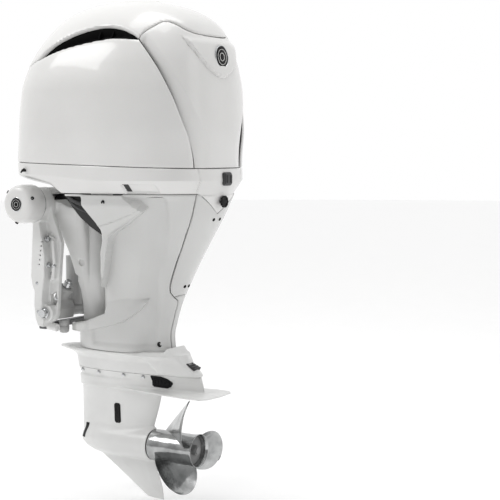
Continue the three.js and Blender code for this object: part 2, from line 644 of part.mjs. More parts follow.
add('shift_rod', joined(
  rodZ(SHIFT_X, 0, 6, -838, -436, 10),
  rodZ(SHIFT_X, 0, 9, -836, -828, 10),
), stainless);

// ---- Gears --------------------------------------------------------------------------------
// A bevel gear about +Z with its pitch circle at z = 0 and its apex at z = apex.
function bevelGear(teeth, apex, hubRadius, hubBack) {
  const pitch = (GEAR_MODULE * teeth) / 2;
  const tipRadius = pitch + 0.6 * GEAR_MODULE;
  const rootRadius = pitch - 1.1 * GEAR_MODULE;
  const faceScale = 0.66;
  const geometry = new THREE.CylinderGeometry(1, 1, 1, teeth * 4, 1);
  geometry.rotateX(Math.PI / 2);
  const position = geometry.attributes.position;
  const offsets = [-0.23, -0.09, 0.09, 0.23];
  for (let i = 0; i < position.count; i += 1) {
    const rim = Math.hypot(position.getX(i), position.getY(i));
    const turn = (Math.atan2(position.getY(i), position.getX(i)) / (2 * Math.PI) + 1) % 1;
    const step = Math.round(turn * teeth * 4);
    const corner = step % 4;
    const angle = ((Math.floor(step / 4) + offsets[corner]) / teeth) * 2 * Math.PI;
    const isTip = corner === 1 || corner === 2;
    const top = position.getZ(i) > 0;
    const scale = top ? faceScale : 1;
    const radius = rim > 0.5 ? (isTip ? tipRadius : rootRadius) * scale : 0;
    position.setXYZ(i, radius * Math.cos(angle), radius * Math.sin(angle), top ? apex * (1 - faceScale) : 0);
  }
  return joined(solid(geometry), rodZ(0, 0, hubRadius, -hubBack, 2));
}
const PINION_PITCH = (GEAR_MODULE * PINION_TEETH) / 2;
const GEAR_PITCH = (GEAR_MODULE * GEAR_TEETH) / 2;
add('drive_pinion', cut(
  bevelGear(PINION_TEETH, GEAR_PITCH, 17, 16).rotate([180, 0, 0])
    .translate([DRIVE_X, 0, PROP_Z + GEAR_PITCH]),
  rodZ(DRIVE_X, 0, 11.4, -860, -760, 16),
), steel);
const HALF_TOOTH = 180 / GEAR_TEETH;
add('forward_gear', cut(
  bevelGear(GEAR_TEETH, PINION_PITCH, 30, 22).rotate([0, 90, 0])
    .translate([DRIVE_X - PINION_PITCH, 0, PROP_Z]),
  rodX(0, PROP_Z, 17.5, 200, 320),
), steel);
add('reverse_gear', cut(
  bevelGear(GEAR_TEETH, PINION_PITCH, 30, 22).rotate([0, 0, HALF_TOOTH]).rotate([0, -90, 0])
    .translate([DRIVE_X + PINION_PITCH, 0, PROP_Z]),
  rodX(0, PROP_Z, 17.5, 280, 380),
), steel);
add('clutch_dog', cut(
  rodX(0, PROP_Z, 24, 283, 297),
  rodX(0, PROP_Z, 14.4, 270, 310),
), steel);

// ---- Propeller shaft and propeller --------------------------------------------------------
add('prop_shaft', rodX(0, PROP_Z, 14, 226, 634), stainless);
add('bearing_carrier', cut(
  rodX(0, PROP_Z, TORPEDO_BORE - 2 * GAP, 340, 426, 24),
  rodX(0, PROP_Z, 15, 320, 440),
  ...[0, 1, 2, 3].map((k) => {
    const angle = Math.PI / 4 + (k * Math.PI) / 2;
    return rodX(32 * Math.cos(angle), PROP_Z + 32 * Math.sin(angle), 13, 330, 440, 8);
  }),
), castAluminium);

// One blade: a thin body whose sections follow a helix. Its root lies inside the hub wall.
const BLADE_PITCH = 470;
const BLADE_MID_X = 540;
const BLADE_START = -0.5;         // angle of the first blade's root, from +Z towards +Y
function blade(turn) {
  const chordSteps = 6;
  const spanSteps = 6;
  const geometry = new THREE.BoxGeometry(1, 1, 1, chordSteps, spanSteps, 1);
  const position = geometry.attributes.position;
  for (let i = 0; i < position.count; i += 1) {
    const chord = position.getX(i) * 2;
    const out = position.getY(i) + 0.5;
    const face = position.getZ(i) * 2;
    const radius = HUB_RADIUS - 4 + (PROP_RADIUS - HUB_RADIUS + 4) * out;
    const halfAngle = 0.62 * Math.sqrt(Math.max(0, 1 - out ** 3.2)) + 0.03;
    const sweep = 0.34 * out ** 1.6;
    const angle = chord * halfAngle + sweep;
    const thickness = (1 + 6 * (1 - out)) * Math.sqrt(Math.max(0, 1 - chord * chord)) + 0.8;
    const x = BLADE_MID_X - (BLADE_PITCH / (2 * Math.PI)) * chord * halfAngle + 34 * out
      + (face * thickness) / 2;
    position.setXYZ(i, x, radius * Math.sin(angle), radius * Math.cos(angle));
  }
  geometry.rotateX(turn);
  geometry.translate(0, 0, PROP_Z);
  return solid(geometry);
}
add('propeller', cut(
  joined(
    turnedX([
      [HUB_X[0], 0], [HUB_X[0], HUB_RADIUS], [HUB_X[1] - 30, HUB_RADIUS - 2], [HUB_X[1], 63], [HUB_X[1], 0],
    ], 0, PROP_Z, 24),
    ...[0, 1, 2].map((k) => blade(BLADE_START + (k * 2 * Math.PI) / 3)),
  ),
  cut(
    rodX(0, PROP_Z, 54, 400, 700, 24),
    rodX(0, PROP_Z, 30, HUB_X[0], 600),
    ...[0, 1, 2].map((k) => {
      const rib = new THREE.BoxGeometry(150, 60, 6);
      rib.translate(HUB_X[0] + 80, 32, 0);
      rib.rotateX((k * 2 * Math.PI) / 3);
      rib.translate(0, 0, PROP_Z);
      return solid(rib);
    }),
  ),
  rodX(0, PROP_Z, 14.4, 400, 700),
), stainless);
add('prop_nut', cut(
  joined(rodX(0, PROP_Z, 25, 600.4, 606), rodX(0, PROP_Z, 20, 606, 630, 6)),
  rodX(0, PROP_Z, 14.4, 590, 650),
), stainless);

// ---- Gearcase -----------------------------------------------------------------------------
const PLATE_PLAN = [
  [150, 0], [181, 11], [363, 61], [534, 93], [648, 107], [706, 104], [728, 80], [736, 0],
];
const STRUT_TOP = [
  [CASE_Z - GAP, 72, 300, 648, 60, 2, 2],
  [-590, 84, 300, 656, 46, 2, 1.8],
  [-618, 88, 300, 664, 44, 2, 1.6],
  [-632, 90, 300, 668, 50, 2, 1.6],
];
const STRUT = [
  [-600, 88, 270, 560, 44, 2, 1.6],
  [-642, 90, 270, 470, 42, 2, 1.6],
  [-700, 90, 268, 455, 38, 2, 1.6],
  [-773, 90, 265, 432, 35, 2, 1.6],
  [-830, 92, 262, 428, 36, 2, 1.6],
];
const TORPEDO = [
  [90, 0], [94, 14], [106, 28], [130, 42], [165, 53], [205, 59], [250, TORPEDO_RADIUS],
  [390, TORPEDO_RADIUS], [430, TORPEDO_RADIUS - 1], [430, 0],
];
const SKEG = [
  [120, -872], [165, -895], [290, -975], [400, -1049], [440, -1053.5], [476, -1054], [470, -1010],
  [452, -952], [434, -914], [428, -900], [424, -870],
];
function gearcase() {
  const body = joined(
    loft(STRUT_TOP, 24),
    loft(STRUT, 18),
    planPlate(PLATE_PLAN, PLATE_Z, PLATE_Z + 11),
    turnedX(TORPEDO, 0, PROP_Z, 24),
    sidePlate(SKEG, -7, 7),
  );
  return cut(
    body,
    rodZ(DRIVE_X, 0, 22, PROP_Z, -500),
    rodZ(SHIFT_X, 0, 11, PROP_Z, -500, 16),
    rodX(0, PROP_Z, TORPEDO_BORE, 205, 500, 24),
    box(342, 392, -13, 13, PROP_Z, -500),
    loft(inset([[-560, 150, 300, 560, 52, 2.4, 2.4], [-612, 160, 300, 540, 40, 2.4, 2]], 9), 14),
    box(SHIFT_X + 20, SHIFT_X + 50, -60, 60, -767, -695),
  );
}
add('gearcase', gearcase(), whiteMetal);
add('gearcase_anode', box(560, 628, -24, 24, -650, PLATE_Z - GAP), zinc);

export default motor;
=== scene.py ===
"""Outboard motor: moulded cowls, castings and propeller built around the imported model.

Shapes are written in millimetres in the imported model's own axes: +X aft, +Y starboard, +Z up.
"""

import json
import math

import bpy
import numpy as np
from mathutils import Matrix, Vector


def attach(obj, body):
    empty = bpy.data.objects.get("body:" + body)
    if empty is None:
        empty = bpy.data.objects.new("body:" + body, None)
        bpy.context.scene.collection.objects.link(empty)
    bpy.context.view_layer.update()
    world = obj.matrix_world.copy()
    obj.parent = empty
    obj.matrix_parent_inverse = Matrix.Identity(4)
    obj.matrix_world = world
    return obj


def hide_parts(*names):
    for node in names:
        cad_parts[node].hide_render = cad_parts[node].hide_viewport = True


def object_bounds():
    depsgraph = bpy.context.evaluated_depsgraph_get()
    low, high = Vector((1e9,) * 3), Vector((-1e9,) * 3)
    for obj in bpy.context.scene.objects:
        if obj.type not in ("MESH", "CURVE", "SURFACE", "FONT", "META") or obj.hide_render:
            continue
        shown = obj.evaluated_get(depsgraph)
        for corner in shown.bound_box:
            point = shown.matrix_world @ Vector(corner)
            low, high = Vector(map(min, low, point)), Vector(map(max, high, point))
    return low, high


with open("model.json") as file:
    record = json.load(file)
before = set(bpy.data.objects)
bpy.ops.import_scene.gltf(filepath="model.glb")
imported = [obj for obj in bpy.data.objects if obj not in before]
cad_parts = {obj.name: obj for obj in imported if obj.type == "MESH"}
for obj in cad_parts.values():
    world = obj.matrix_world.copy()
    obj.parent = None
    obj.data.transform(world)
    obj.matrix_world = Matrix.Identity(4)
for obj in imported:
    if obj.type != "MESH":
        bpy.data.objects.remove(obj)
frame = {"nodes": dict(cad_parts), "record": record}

CAD_BOX = [list(corner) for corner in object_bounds()]
MM = 0.001
TILT_Z = 75.0  # height of the tilt tube
KING_X = 155.0  # king pin
PIN_X, PIN_Z = 45, -345  # the tube through the bracket feet
REAR_FACE = 560  # from here aft the lower cowl has its V and its grooves
WEDGE_START = 470  # the rear apron panel lies aft of this
PANEL_GAP = 1.2
BOLT_Y = 163.5  # half the distance between the transom bolts
BOLT_HEIGHTS = (-60, -160)
RAM_Y = 82
PROP_Z = -845.0
PLATE_Z = -629.5  # middle of the plate above the propeller
COWL_X = 304  # widest section of the cowls
AFT = (1, 0, 0)
UP = (0, 0, 1)
SIDE_NAMES = {-1: "port", 1: "starboard"}
SEAM_GAP = 1.5
COWL_GAP = 2.0  # between the lower cowl and the apron
REAR_JOINT_Z = -262  # between the rear apron cover and the strip under it
CASE_FOOT = -566  # joint of the upper case and the gearcase
PLUG_Z = 92
WALL = 4.5  # thickness of the moulded panels


# ---- Curves and fields ----
def flow(points, values, where):
    """Monotone cubic through values at points, one column at a time."""
    points = np.asarray(points, float)
    values = np.asarray(values, float).reshape(len(points), -1)
    h = np.diff(points)[:, None]
    slope = np.diff(values, axis=0) / h
    tangent = np.zeros_like(values)
    same = slope[1:] * slope[:-1] > 0
    w1 = 2 * h[1:] + h[:-1]
    w2 = h[1:] + 2 * h[:-1]
    with np.errstate(divide="ignore", invalid="ignore"):
        middle = (w1 + w2) / (w1 / slope[:-1] + w2 / slope[1:])
    tangent[1:-1] = np.where(same, np.nan_to_num(middle), 0)
    tangent[0], tangent[-1] = slope[0], slope[-1]
    k = np.clip(np.searchsorted(points, where, side="right") - 1, 0, len(points) - 2)
    t = ((where - points[k]) / h[k, 0])[:, None]
    step = h[k]
    return (
        (1 + 2 * t) * (1 - t) ** 2 * values[k]
        + t * (1 - t) ** 2 * step * tangent[k]
        + t * t * (3 - 2 * t) * values[k + 1]
        + t * t * (t - 1) * step * tangent[k + 1]
    )


def rounded(points, steps=10):
    """A smooth open line through the points (Catmull-Rom)."""
    p = np.asarray(points, float)
    p = np.vstack([2 * p[0] - p[1], p, 2 * p[-1] - p[-2]])
    out = []
    for a, b, c, d in zip(p[:-3], p[1:-2], p[2:-1], p[3:]):
        for t in np.arange(steps) / steps:
            out.append(
                0.5 * (2 * b + (c - a) * t + (2 * a - 5 * b + 4 * c - d) * t * t
                       + (3 * b - 3 * c + d - a) * t ** 3)
            )
    out.append(p[-2])
    return np.array(out)


def segment_gap(u, w, starts, ends):
    """Squared distance from each (u, w) to the nearest of some segments."""
    best = np.full(np.shape(u), np.inf)
    for (ax, ay), (bx, by) in zip(starts, ends):
        ex, ey = bx - ax, by - ay
        t = np.clip(((u - ax) * ex + (w - ay) * ey) / (ex * ex + ey * ey + 1e-12), 0, 1)
        best = np.minimum(best, (u - ax - ex * t) ** 2 + (w - ay - ey * t) ** 2)
    return best


def line_distance(u, w, line):
    """Distance from each (u, w) to an open polyline."""
    return np.sqrt(segment_gap(u, w, line[:-1], line[1:]))


def polygon(u, w, outline):
    """Signed distance to a closed polygon, negative inside."""
    following = np.roll(outline, -1, axis=0)
    inside = np.zeros(np.shape(u), bool)
    for (ax, ay), (bx, by) in zip(outline, following):
        if ay != by:
            crosses = (ay > w) != (by > w)
            inside ^= crosses & (u < ax + (bx - ax) * (w - ay) / (by - ay))
    return np.where(inside, -1, 1) * np.sqrt(segment_gap(u, w, outline, following))


def smooth(t):
    t = np.clip(t, 0, 1)
    return t * t * (3 - 2 * t)


def roll(d, radius):
    """How far a rounded edge falls away at distance d inside it."""
    t = np.clip(1 - d / radius, 0, 1)
    return radius * (1 - np.sqrt(np.maximum(0, 1 - t * t)))


def smin(a, b, k):
    h = np.clip(0.5 + 0.5 * (b - a) / k, 0, 1)
    return b * (1 - h) + a * h - k * h * (1 - h)


def smax(a, b, k):
    return -smin(-a, -b, k)


# ---- Meshes ----
def sections(rows, count, smooth_rows=True):
    """Level sections between the given ones, evenly spaced along the profile."""
    rows = np.asarray(rows, float)
    steps = np.abs(np.diff(rows[:, [0, 1, 3, 4]], axis=0)).max(axis=1)
    along = np.concatenate([[0], np.cumsum(steps + 1e-6)])
    where = np.linspace(0, along[-1], count)
    if smooth_rows:
        return flow(along, rows, where)
    return np.stack([np.interp(where, along, rows[:, k]) for k in range(7)], 1)


def turns(row, count):
    """Angles that space the points of a superellipse evenly."""
    angle = np.linspace(0, 2 * np.pi, 8001)
    ring = section(np.asarray(row, float)[None], angle)[0]
    along = np.concatenate([[0], np.cumsum(np.linalg.norm(np.diff(ring, axis=0), axis=1))])
    return np.interp(np.linspace(0, along[-1], count + 1)[:-1], along, angle)


def section(rows, angles):
    """Points of superellipse sections [z, front, widest, rear, half width, n front, n rear]."""
    z, front, wide, rear, half, nf, nr = [rows[:, k][:, None] for k in range(7)]
    c, s = np.cos(angles)[None], np.sin(angles)[None]
    reach = np.where(c >= 0, rear - wide, wide - front)
    power = 2 / np.where(c >= 0, nr, nf)
    x = wide + np.sign(c) * reach * np.abs(c) ** power
    y = np.sign(s) * half * np.abs(s) ** power
    return np.stack([x, y, z + 0 * x], -1)


def net(grid, closed=True):
    """Triangles over a grid of points, closed around its second axis or not."""
    rows, cols = grid.shape[:2]
    i, j = np.meshgrid(np.arange(rows - 1), np.arange(cols if closed else cols - 1), indexing="ij")
    k = (j + 1) % cols
    a, b, c, d = i * cols + j, i * cols + k, (i + 1) * cols + k, (i + 1) * cols + j
    faces = np.concatenate([
        np.stack([a, b, c], -1).reshape(-1, 3),
        np.stack([a, c, d], -1).reshape(-1, 3),
    ])
    return grid.reshape(-1, 3), faces


def vertex_normals(v, f):
    n = np.cross(v[f[:, 1]] - v[f[:, 0]], v[f[:, 2]] - v[f[:, 0]])
    total = np.zeros_like(v)
    for k in range(3):
        np.add.at(total, f[:, k], n)
    return total / (np.linalg.norm(total, axis=1, keepdims=True) + 1e-12)


def skin_of(grid):
    """An outward skin over a grid of points: each row holds a point and its normal."""
    v, f = net(grid)
    n = vertex_normals(v, f)
    probe = len(v) // 2
    if n[probe] @ (v[probe] - [COWL_X, 0, v[probe, 2]]) < 0:
        f, n = f[:, ::-1], -n
    return np.hstack([v, n]), f


def compact(v, f):
    used, inverse = np.unique(f, return_inverse=True)
    return v[used], inverse.reshape(f.shape)


def nearest(skin, axes, place, keep):
    """The row of a skin nearest to a place in two of its axes, among the rows to keep."""
    gap = ((skin[:, axes] - place) ** 2).sum(1)
    return skin[np.where(keep, gap, np.inf).argmin()]


def clip(v, f, field):
    """The part of a triangle mesh where field(points) > 0. v may carry more columns than xyz."""
    d = field(v[:, :3])
    keep = d > 0
    inside = keep[f].sum(1)
    split = f[(inside == 1) | (inside == 2)]
    if not len(split):
        return compact(v, f[inside == 3])
    k = keep[split]
    odd = np.where(k.sum(1) == 1, k.argmax(1), k.argmin(1))
    split = np.take_along_axis(split, (odd[:, None] + np.arange(3)) % 3, 1)
    edges = np.sort(np.vstack([split[:, [0, 1]], split[:, [0, 2]]]), 1)
    unique, inverse = np.unique(edges, axis=0, return_inverse=True)
    inverse = inverse.reshape(-1)
    first_in = keep[unique[:, 0]][:, None]
    low = np.where(first_in, v[unique[:, 0]], v[unique[:, 1]])
    high = np.where(first_in, v[unique[:, 1]], v[unique[:, 0]])
    for _ in range(14):
        middle = (low + high) / 2
        positive = (field(middle[:, :3]) > 0)[:, None]
        low = np.where(positive, middle, low)
        high = np.where(positive, high, middle)
    p = len(v) + inverse[: len(split)]
    q = len(v) + inverse[len(split):]
    one = keep[split[:, 0]]
    two = ~one
    faces = np.vstack([
        f[inside == 3],
        np.stack([split[one, 0], p[one], q[one]], 1),
        np.stack([p[two], split[two, 1], split[two, 2]], 1),
        np.stack([p[two], split[two, 2], q[two]], 1),
    ])
    return compact(np.vstack([v, low]), faces)


def thicken(skin, f, wall, sink=0.0):
    """A closed wall behind a skin that is sunk along its normals first."""
    v, normals = skin[:, :3], skin[:, 3:]
    v = v - normals * np.reshape(sink, (-1, 1))
    edges = np.vstack([f[:, [0, 1]], f[:, [1, 2]], f[:, [2, 0]]])
    key = np.sort(edges, 1)
    _, first, count = np.unique(key, axis=0, return_index=True, return_counts=True)
    rim = edges[first[count == 1]]
    n = len(v)
    walls = np.vstack([
        np.stack([rim[:, 1], rim[:, 0], rim[:, 0] + n], 1),
        np.stack([rim[:, 1], rim[:, 0] + n, rim[:, 1] + n], 1),
    ])
    return np.vstack([v, v - normals * wall]), np.vstack([f, f[:, ::-1] + n, walls])


def surface(field, low, high, step, polish=2):
    """A closed mesh of field = 0 inside a box (surface nets), in millimetres."""
    axes = [np.arange(a - step * 1.5, b + step * 1.6, step) for a, b in zip(low, high)]
    grids = np.meshgrid(*axes, indexing="ij")
    d = field(*grids)
    s = d < 0
    n = np.array(d.shape) - 1
    offsets = [(i, j, k) for i in (0, 1) for j in (0, 1) for k in (0, 1)]

    def corner(array, o):
        return array[o[0]: n[0] + o[0], o[1]: n[1] + o[1], o[2]: n[2] + o[2]]

    total = sum(corner(s, o).astype(np.int8) for o in offsets)
    active = (total > 0) & (total < 8)
    cells = np.argwhere(active)
    index = np.full(n, -1)
    index[active] = np.arange(len(cells))
    point = np.zeros((len(cells), 3))
    hits = np.zeros(len(cells))
    for a in offsets:
        for axis in range(3):
            if a[axis]:
                continue
            b = list(a)
            b[axis] = 1
            da = corner(d, a)[active]
            db = corner(d, b)[active]
            cross = (da < 0) != (db < 0)
            t = np.where(cross, da / np.where(cross, da - db, 1), 0)
            place = np.tile(np.array(a, float), (len(cells), 1))
            place[:, axis] += t
            point[cross] += place[cross]
            hits[cross] += 1
    origin = np.array([a[0] for a in axes])
    v = origin + (cells + point / hits[:, None]) * step
    faces = []
    for axis in range(3):
        u, w = (axis + 1) % 3, (axis + 2) % 3
        head = [slice(None)] * 3
        tail = [slice(None)] * 3
        head[axis], tail[axis] = slice(0, -1), slice(1, None)
        a, b = s[tuple(head)], s[tuple(tail)]
        for flip, mask in ((False, a & ~b), (True, ~a & b)):
            e = np.argwhere(mask)
            e = e[(e[:, u] > 0) & (e[:, w] > 0) & (e[:, u] < n[u]) & (e[:, w] < n[w])]
            ring = []
            for du, dw in ((-1, -1), (0, -1), (0, 0), (-1, 0)):
                c = e.copy()
                c[:, u] += du
                c[:, w] += dw
                ring.append(index[c[:, 0], c[:, 1], c[:, 2]])
            quad = np.stack(ring, 1)
            faces.append(quad[:, ::-1] if flip else quad)
    faces = np.vstack(faces)
    eps = step * 0.25
    for _ in range(polish):
        value = field(*v.T)
        slope = np.stack([
            (field(*(v + e).T) - field(*(v - e).T)) / (2 * eps) for e in np.eye(3) * eps
        ], 1)
        size = (slope ** 2).sum(1) + 1e-6
        move = -(value / size)[:, None] * slope
        length = np.linalg.norm(move, axis=1, keepdims=True) + 1e-9
        v = v + move * np.minimum(1, 0.5 * step / length)
    return v, faces


def make(name, shape, finish, body, replaces=(), sharp=38):
    """A piece from (points in millimetres, faces), smooth but for its sharp edges."""
    v, f = shape
    mesh = bpy.data.meshes.new(name)
    mesh.from_pydata((np.asarray(v)[:, :3] * MM).tolist(), [], np.asarray(f).tolist())
    mesh.validate()
    mesh.shade_smooth()
    mesh.set_sharp_from_angle(angle=math.radians(sharp))
    mesh.materials.append(finish)
    piece = bpy.data.objects.new(name, mesh)
    bpy.context.scene.collection.objects.link(piece)
    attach(piece, body)
    if replaces:
        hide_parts(*replaces)
    return piece


def lathe(profile, origin, axis, sides=64):
    """A closed turned body. profile is [along, radius], from axis to axis."""
    profile = np.asarray(profile, float)
    axis = np.asarray(axis, float) / np.linalg.norm(axis)
    helper = np.array([0, 0, 1.0]) if abs(axis[2]) < 0.9 else np.array([1.0, 0, 0])
    u = np.cross(helper, axis)
    u /= np.linalg.norm(u)
    w = np.cross(axis, u)
    angle = np.linspace(0, 2 * np.pi, sides, endpoint=False)
    ring = np.cos(angle)[:, None] * u + np.sin(angle)[:, None] * w
    grid = (np.asarray(origin, float) + profile[:, 0][:, None, None] * axis
            + profile[:, 1][:, None, None] * ring[None])
    v, f = net(grid)
    # Rings of no radius close the ends.
    key = np.unique(np.round(v, 5), axis=0, return_inverse=True)
    v, f = key[0], key[1].reshape(-1)[f]
    good = (f[:, 0] != f[:, 1]) & (f[:, 1] != f[:, 2]) & (f[:, 0] != f[:, 2])
    return v, f[good]


def merged(*pieces):
    points, faces, base = [], [], 0
    for v, f in pieces:
        points.append(np.asarray(v)[:, :3])
        faces += [tuple(int(i) + base for i in face) for face in f]
        base += len(v)
    return np.vstack(points), faces


# ---- Signed-distance shapes for castings, in millimetres ----
def carve(body, soft, *cutters):
    """Cuts shapes out of a body, with edges rounded by soft."""
    for cutter in cutters:
        body = smax(body, -cutter, soft)
    return body


def rod(p, a, b, radius, soft=1.5):
    a, b = np.asarray(a, float), np.asarray(b, float)
    axis = b - a
    length = np.linalg.norm(axis)
    axis = axis / length
    q = [p[k] - a[k] for k in range(3)]
    along = sum(q[k] * axis[k] for k in range(3))
    across = np.sqrt(np.maximum(0, sum((q[k] - along * axis[k]) ** 2 for k in range(3))))
    return smax(across - radius, np.abs(along - length / 2) - length / 2, soft)


def block(p, low, high, soft=2.0):
    q = [np.abs(p[k] - (low[k] + high[k]) / 2) - (high[k] - low[k]) / 2 + soft
         for k in range(3)]
    outside = np.sqrt(sum(np.maximum(t, 0) ** 2 for t in q))
    return outside + np.minimum(np.maximum(np.maximum(q[0], q[1]), q[2]), 0) - soft


def upright(p, outline, y0, y1, soft=3.0):
    """An outline in side view, thick from y0 to y1."""
    return smax(polygon(p[0], p[2], outline), np.maximum(y0 - p[1], p[1] - y1), soft)


def flat(p, outline, z0, z1, soft=3.0):
    """Half an outline in plan, mirrored, thick from z0 to z1."""
    return smax(polygon(p[0], np.abs(p[1]), outline), np.maximum(z0 - p[2], p[2] - z1), soft)


def ellipse_ratio(x, y, z, rows, inset=0):
    """How far a point is out of the section at its height: 1 on it. Also the half sizes."""
    rows = np.asarray(rows, float)[::-1]
    front, wide, rear, half, nf, nr = [np.interp(z, rows[:, 0], rows[:, k]) for k in range(1, 7)]
    aft = x >= wide
    reach = np.where(aft, rear - wide, wide - front) - inset
    half = half - inset
    n = np.where(aft, nr, nf)
    ratio = ((np.abs(x - wide) / reach) ** n + (np.abs(y) / half) ** n + 1e-9) ** (1 / n)
    return ratio, np.minimum(reach, half)


def loft(p, rows, soft=2.0):
    low, high = rows[-1][0], rows[0][0]
    ratio, size = ellipse_ratio(p[0], p[1], np.clip(p[2], low, high), rows)
    return smax((ratio - 1) * size, np.maximum(low - p[2], p[2] - high), soft)


# ---- Materials ----
def add_node(tree, kind, inputs, **settings):
    """A shader node with its settings, and its inputs as values or as sockets to link."""
    node = tree.nodes.new("ShaderNode" + kind)
    for name, value in settings.items():
        setattr(node, name, value)
    for name, value in inputs.items():
        if isinstance(value, bpy.types.NodeSocket):
            tree.links.new(value, node.inputs[name])
        else:
            node.inputs[name].default_value = value
    return node


def material(name, dark, light, rough, metal=0.0, coat=0.0, grain=60.0, bump=0.05, depth=0.0004,
             rough_spread=0.06, wear=0.0, wear_colour=(0.6, 0.6, 0.6), flake=0.0, brushed=None,
             noise_scale=9.0, specular=0.5):
    """A finish with slow colour drift, fine surface grain, varied gloss and worn edges."""
    made = bpy.data.materials.new(name)
    made.use_nodes = True
    tree = made.node_tree
    shader = tree.nodes["Principled BSDF"].inputs
    place = add_node(tree, "TexCoord", {}).outputs["Object"]
    drift = add_node(tree, "TexNoise", {"Scale": noise_scale, "Detail": 4.0, "Vector": place})
    ramp = add_node(tree, "ValToRGB", {"Fac": drift.outputs["Fac"]})
    for stop, position, shade in zip(ramp.color_ramp.elements, (0.32, 0.68), (dark, light)):
        stop.position = position
        stop.color = (*shade, 1)
    colour = ramp.outputs["Color"]
    if flake:
        cells = add_node(tree, "TexVoronoi", {"Scale": 900.0, "Vector": place})
        colour = add_node(tree, "Mix", {"Factor": flake, "A": colour, "B": cells.outputs["Color"]},
                          data_type="RGBA", blend_type="SOFT_LIGHT").outputs["Result"]
    if wear:
        shape = add_node(tree, "NewGeometry", {})
        edge = add_node(tree, "MapRange", {"Value": shape.outputs["Pointiness"],
                                           "From Min": 0.56, "From Max": 0.68})
        patch = add_node(tree, "TexNoise", {"Scale": 55.0, "Vector": place})
        amount = add_node(tree, "Math", {0: edge.outputs["Result"], 1: patch.outputs["Fac"]},
                          operation="MULTIPLY")
        strength = add_node(tree, "Math", {0: amount.outputs[0], 1: wear}, operation="MULTIPLY")
        colour = add_node(tree, "Mix", {"Factor": strength.outputs[0], "A": colour,
                                        "B": (*wear_colour, 1)},
                          data_type="RGBA").outputs["Result"]
    if brushed:
        place = add_node(tree, "Mapping", {"Vector": place, "Scale": brushed}).outputs["Vector"]
    fine = add_node(tree, "TexNoise", {"Scale": grain, "Detail": 6.0, "Vector": place})
    gloss = add_node(tree, "MapRange", {"Value": fine.outputs["Fac"],
                                        "To Min": max(0.02, rough - rough_spread),
                                        "To Max": rough + rough_spread})
    relief = add_node(tree, "Bump", {"Strength": bump, "Distance": depth,
                                     "Height": fine.outputs["Fac"]})
    for source, name in ((colour, "Base Color"), (gloss.outputs["Result"], "Roughness"),
                         (relief.outputs["Normal"], "Normal")):
        tree.links.new(source, shader[name])
    for name, value in (("Metallic", metal), ("Specular IOR Level", specular),
                        ("Coat Weight", coat), ("Coat Roughness", 0.06)):
        shader[name].default_value = value
    return made


PEARL = material("pearl_paint", (0.70, 0.695, 0.68), (0.76, 0.755, 0.745), 0.32, coat=0.55,
                 grain=240.0, bump=0.04, rough_spread=0.04, flake=0.10, noise_scale=2.5)
# The cowl's pearl paint made darker for the apron: painted shade for the shade that lies on the
# recessed apron panels.
APRON_SHADE_PEARL = material("pearl_paint_with_painted_shade", (0.58, 0.58, 0.57), (0.64, 0.64, 0.63), 0.34, coat=0.45,
                       grain=240.0, bump=0.04, rough_spread=0.04, flake=0.08, noise_scale=2.5)
CAST_WHITE = material("white_casting_paint", (0.73, 0.73, 0.72), (0.79, 0.79, 0.78), 0.42,
                      coat=0.25, grain=420.0, bump=0.12, depth=0.0005, wear=0.5,
                      wear_colour=(0.50, 0.50, 0.50), noise_scale=7.0)
GREY_CAST = material("grey_casting_paint", (0.36, 0.36, 0.36), (0.47, 0.47, 0.46), 0.5,
                     coat=0.1, grain=350.0, bump=0.25, depth=0.0008, wear=0.5)
BLACK = material("black_moulding", (0.004, 0.004, 0.004), (0.011, 0.011, 0.012), 0.5,
                 grain=700.0, bump=0.2, depth=0.0003, wear=0.3, wear_colour=(0.04, 0.04, 0.04),
                 specular=0.25)
GLOSS_BLACK = material("gloss_black_enamel", (0.004, 0.004, 0.005), (0.009, 0.009, 0.010), 0.32,
                       grain=300.0, bump=0.03, specular=0.12)
DUCT_BLACK = material("duct_black", (0.002, 0.002, 0.002), (0.005, 0.005, 0.005), 0.85,
                      grain=500.0, bump=0.2, depth=0.0003, specular=0.08)
DARK_GREY = material("dark_grey_moulding", (0.035, 0.035, 0.036), (0.060, 0.060, 0.062), 0.5,
                     grain=420.0, bump=0.15, depth=0.0003, specular=0.35)
RUBBER = material("rubber", (0.012, 0.012, 0.012), (0.028, 0.028, 0.028), 0.75, grain=500.0,
                  bump=0.3, depth=0.0004)
ALLOY = material("cast_aluminium", (0.30, 0.305, 0.31), (0.42, 0.425, 0.43), 0.46, metal=0.85,
                 grain=380.0, bump=0.3, depth=0.0006, wear=0.6, wear_colour=(0.7, 0.7, 0.7))
STEEL = material("machined_steel", (0.34, 0.345, 0.35), (0.46, 0.465, 0.47), 0.3, metal=1.0,
                 grain=90.0, bump=0.1, brushed=(1.0, 1.0, 14.0))
STAINLESS = material("stainless_rod", (0.56, 0.57, 0.58), (0.68, 0.685, 0.69), 0.18, metal=1.0,
                     grain=80.0, bump=0.05, brushed=(1.0, 1.0, 12.0), rough_spread=0.05)
MIRROR = material("polished_stainless", (0.30, 0.305, 0.305), (0.56, 0.565, 0.565), 0.17,
                  metal=1.0, grain=22.0, bump=0.55, depth=0.0030, rough_spread=0.05,
                  noise_scale=16.0)
# Dull grey that paints the shade inside the propeller's exhaust outlet, on the disc that closes it
# and on the nut and shaft in it.
OUTLET_SHADE_GREY = material("hub_outlet_painted_shade", (0.20, 0.20, 0.20), (0.27, 0.27, 0.27), 0.6, metal=0.3,
                    grain=200.0, bump=0.2, noise_scale=20.0, specular=0.3)
BRONZE = material("bronze", (0.36, 0.22, 0.08), (0.48, 0.31, 0.12), 0.36, metal=1.0,
                  grain=160.0, bump=0.1)
ZINC = material("zinc_anode", (0.12, 0.122, 0.125), (0.20, 0.20, 0.205), 0.62, metal=0.5,
                grain=220.0, bump=0.5, depth=0.001, noise_scale=30.0)
DARK_ANODE = material("dark_anode", (0.010, 0.010, 0.011), (0.03, 0.03, 0.031), 0.55,
                      grain=260.0, bump=0.4, depth=0.0006, noise_scale=40.0)
